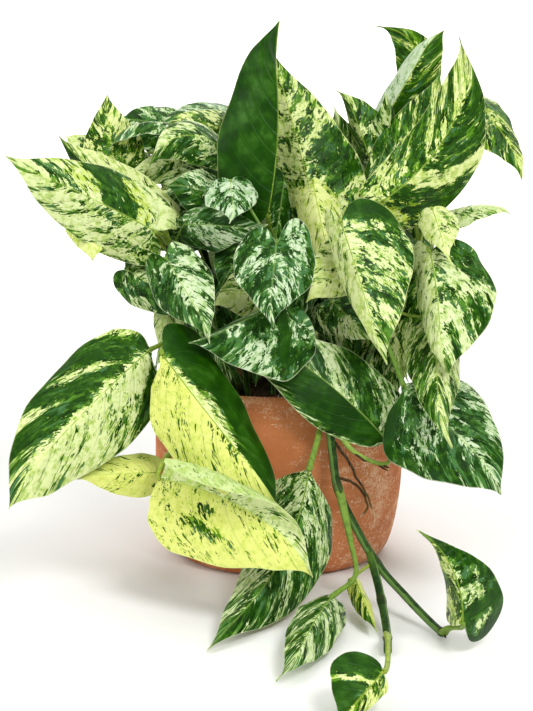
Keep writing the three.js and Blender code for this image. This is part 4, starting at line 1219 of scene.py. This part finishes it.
def vine_pieces(name, vine, own):
    """The stem of a vine with its branch and nubs, its aerial roots, and each of its own leaves."""
    nodes = [f"vine_{name}"]
    curve = stem_curve(vine)
    build = Build()
    places = sorted({round(above_soil(curve, item["at"]), 3) for item in own if "branch" not in item})
    seed = 3.7 * len(name) + len(own)
    thick = STEM_RADIUS * vine.get("thick", 1)
    stem_tube(build, curve, thick, thick * END_SHARE, [min(p, 0.985) for p in places], seed)
    if "branch" in vine:
        height, points = vine["branch"]
        branch = Spline([curve.at(above_soil(curve, height)), *points])
        stem_tube(build, branch, thick * BRANCH_SHARE, thick * END_SHARE, [0.35, 0.75], seed + 1)
    for k, place in enumerate(places):
        lean = np.array([math.cos(2.4 * k + seed), -abs(math.sin(2.4 * k + seed)), -0.5])
        nub(build, curve.at(place) + unit(lean) * 2.2, lean, 1.1)
    for points in vine.get("husks", ()):
        line = Spline(points).run(12)
        skin, faces = tube(line, 0.95 - 0.75 * np.linspace(0, 1, len(line)) ** 2, 7)
        build.add(skin, faces, 1)
    build.make(f"stem_{name}", [STEM, ROOT], "foliage", nodes)
    for k, points in enumerate(vine.get("roots", ())):
        aerial_root(points, k).make(f"aerial_root_{k + 1}", [ROOT], "foliage", nodes)
    for k, item in enumerate(own):
        build = Build()
        columns, rows = (17, 72) if math.dist(item["tip"], item["base"]) > BIG_LEAF else (13, 44)
        ribs, normals = blade(build, item, columns, rows)
        at = item["at"]
        spot = branch.at(at) if "branch" in item else curve.at(above_soil(curve, at))
        green = item.get("stalk_green", sum(item["green"]) / 2)
        petiole(build, item, spot, ribs, normals, (green, sum(item["warm"]) / 2, 0, 0))
        build.make(f"leaf_{name}_{k + 1}", [UPPER, UNDER, STALK], "foliage", nodes)


back_vines, back_leaves = back_foliage()
vines = {**VINES, **back_vines}
leaves = FRONT_LEAVES + back_leaves + inner_foliage() + side_foliage()
for number, item in enumerate(leaves):
    item["seed"] = (number * 7 % 97) + 1
    bent = random_draw(number * 331 + 77)
    item.setdefault("hook", (bent() - 0.5) * 0.16)
    item.setdefault("droop", 0.01 + 0.05 * bent())

pot_piece()
soil_piece()
crumb_pieces([vine["root"] for vine in vines.values()])
for name, vine in vines.items():
    vine_pieces(name, vine, [item for item in leaves if item["vine"] == name])


# ---- floor and light ----
FLOOR_DROP = 0.0003
FLOOR_HALF_WIDTH = 7
FLOOR_FRONT = -6
BEND_START = 3.2
BEND_RADIUS = 1.6
BACKDROP_TOP = 6


def floor_piece():
    """A wide pale floor that curves up into a backdrop far behind."""
    profile = [(FLOOR_FRONT, 0)]
    for t in np.linspace(0, math.pi / 2, 17):
        profile.append((BEND_START + BEND_RADIUS * math.sin(t), BEND_RADIUS * (1 - math.cos(t))))
    profile.append((BEND_START + BEND_RADIUS, BACKDROP_TOP))
    sides = (-FLOOR_HALF_WIDTH, FLOOR_HALF_WIDTH)
    points = [(x, y, z - FLOOR_DROP) for y, z in profile for x in sides]
    faces = [(p, p + 1, p + 3, p + 2) for p in range(0, len(points) - 2, 2)]
    mesh = bpy.data.meshes.new("floor")
    mesh.from_pydata(points, [], faces)
    mesh.polygons.foreach_set("use_smooth", [True] * len(faces))
    mesh.materials.append(FLOOR)
    floor = bpy.data.objects.new("floor", mesh)
    bpy.context.scene.collection.objects.link(floor)


# Round lights: place, point aimed at, diameter, power.
LIGHTS = {
    "key": ((0.75, -1.5, 1.6), (0, 0, 0.22), 0.8, 26),
    "fill": ((-1.5, -1.3, 1.2), (0, 0, 0.2), 1.1, 15),
    "back": ((0.4, 1.8, 1.3), (0, 0, 0.2), 1.4, 8),
    "backdrop": ((0, 2.4, 2.2), (0, 4.6, 1.0), 2.0, 110),
}
OVERHEAD_PLACE = (0, 0, 3)
OVERHEAD_POWER = 1.1
OVERHEAD_SPREAD = 70
WORLD_COLOUR = (1, 0.99, 0.96, 1)
WORLD_STRENGTH = 0.4


def add_light(name, data, place, power):
    data.energy = power
    light = bpy.data.objects.new(name, data)
    light.location = place
    bpy.context.scene.collection.objects.link(light)
    return light


floor_piece()
for name, (place, aim, size, power) in LIGHTS.items():
    data = bpy.data.lights.new(name, "AREA")
    data.shape = "DISK"
    data.size = size
    light = add_light(name, data, place, power)
    light.rotation_euler = (Vector(aim) - Vector(place)).to_track_quat("-Z", "Y").to_euler()
overhead = bpy.data.lights.new("overhead", "SUN")
overhead.angle = math.radians(OVERHEAD_SPREAD)
add_light("overhead", overhead, OVERHEAD_PLACE, OVERHEAD_POWER)

world = bpy.data.worlds.new("studio")
world.use_nodes = True
background = world.node_tree.nodes["Background"]
background.inputs["Color"].default_value = WORLD_COLOUR
background.inputs["Strength"].default_value = WORLD_STRENGTH
bpy.context.scene.world = world
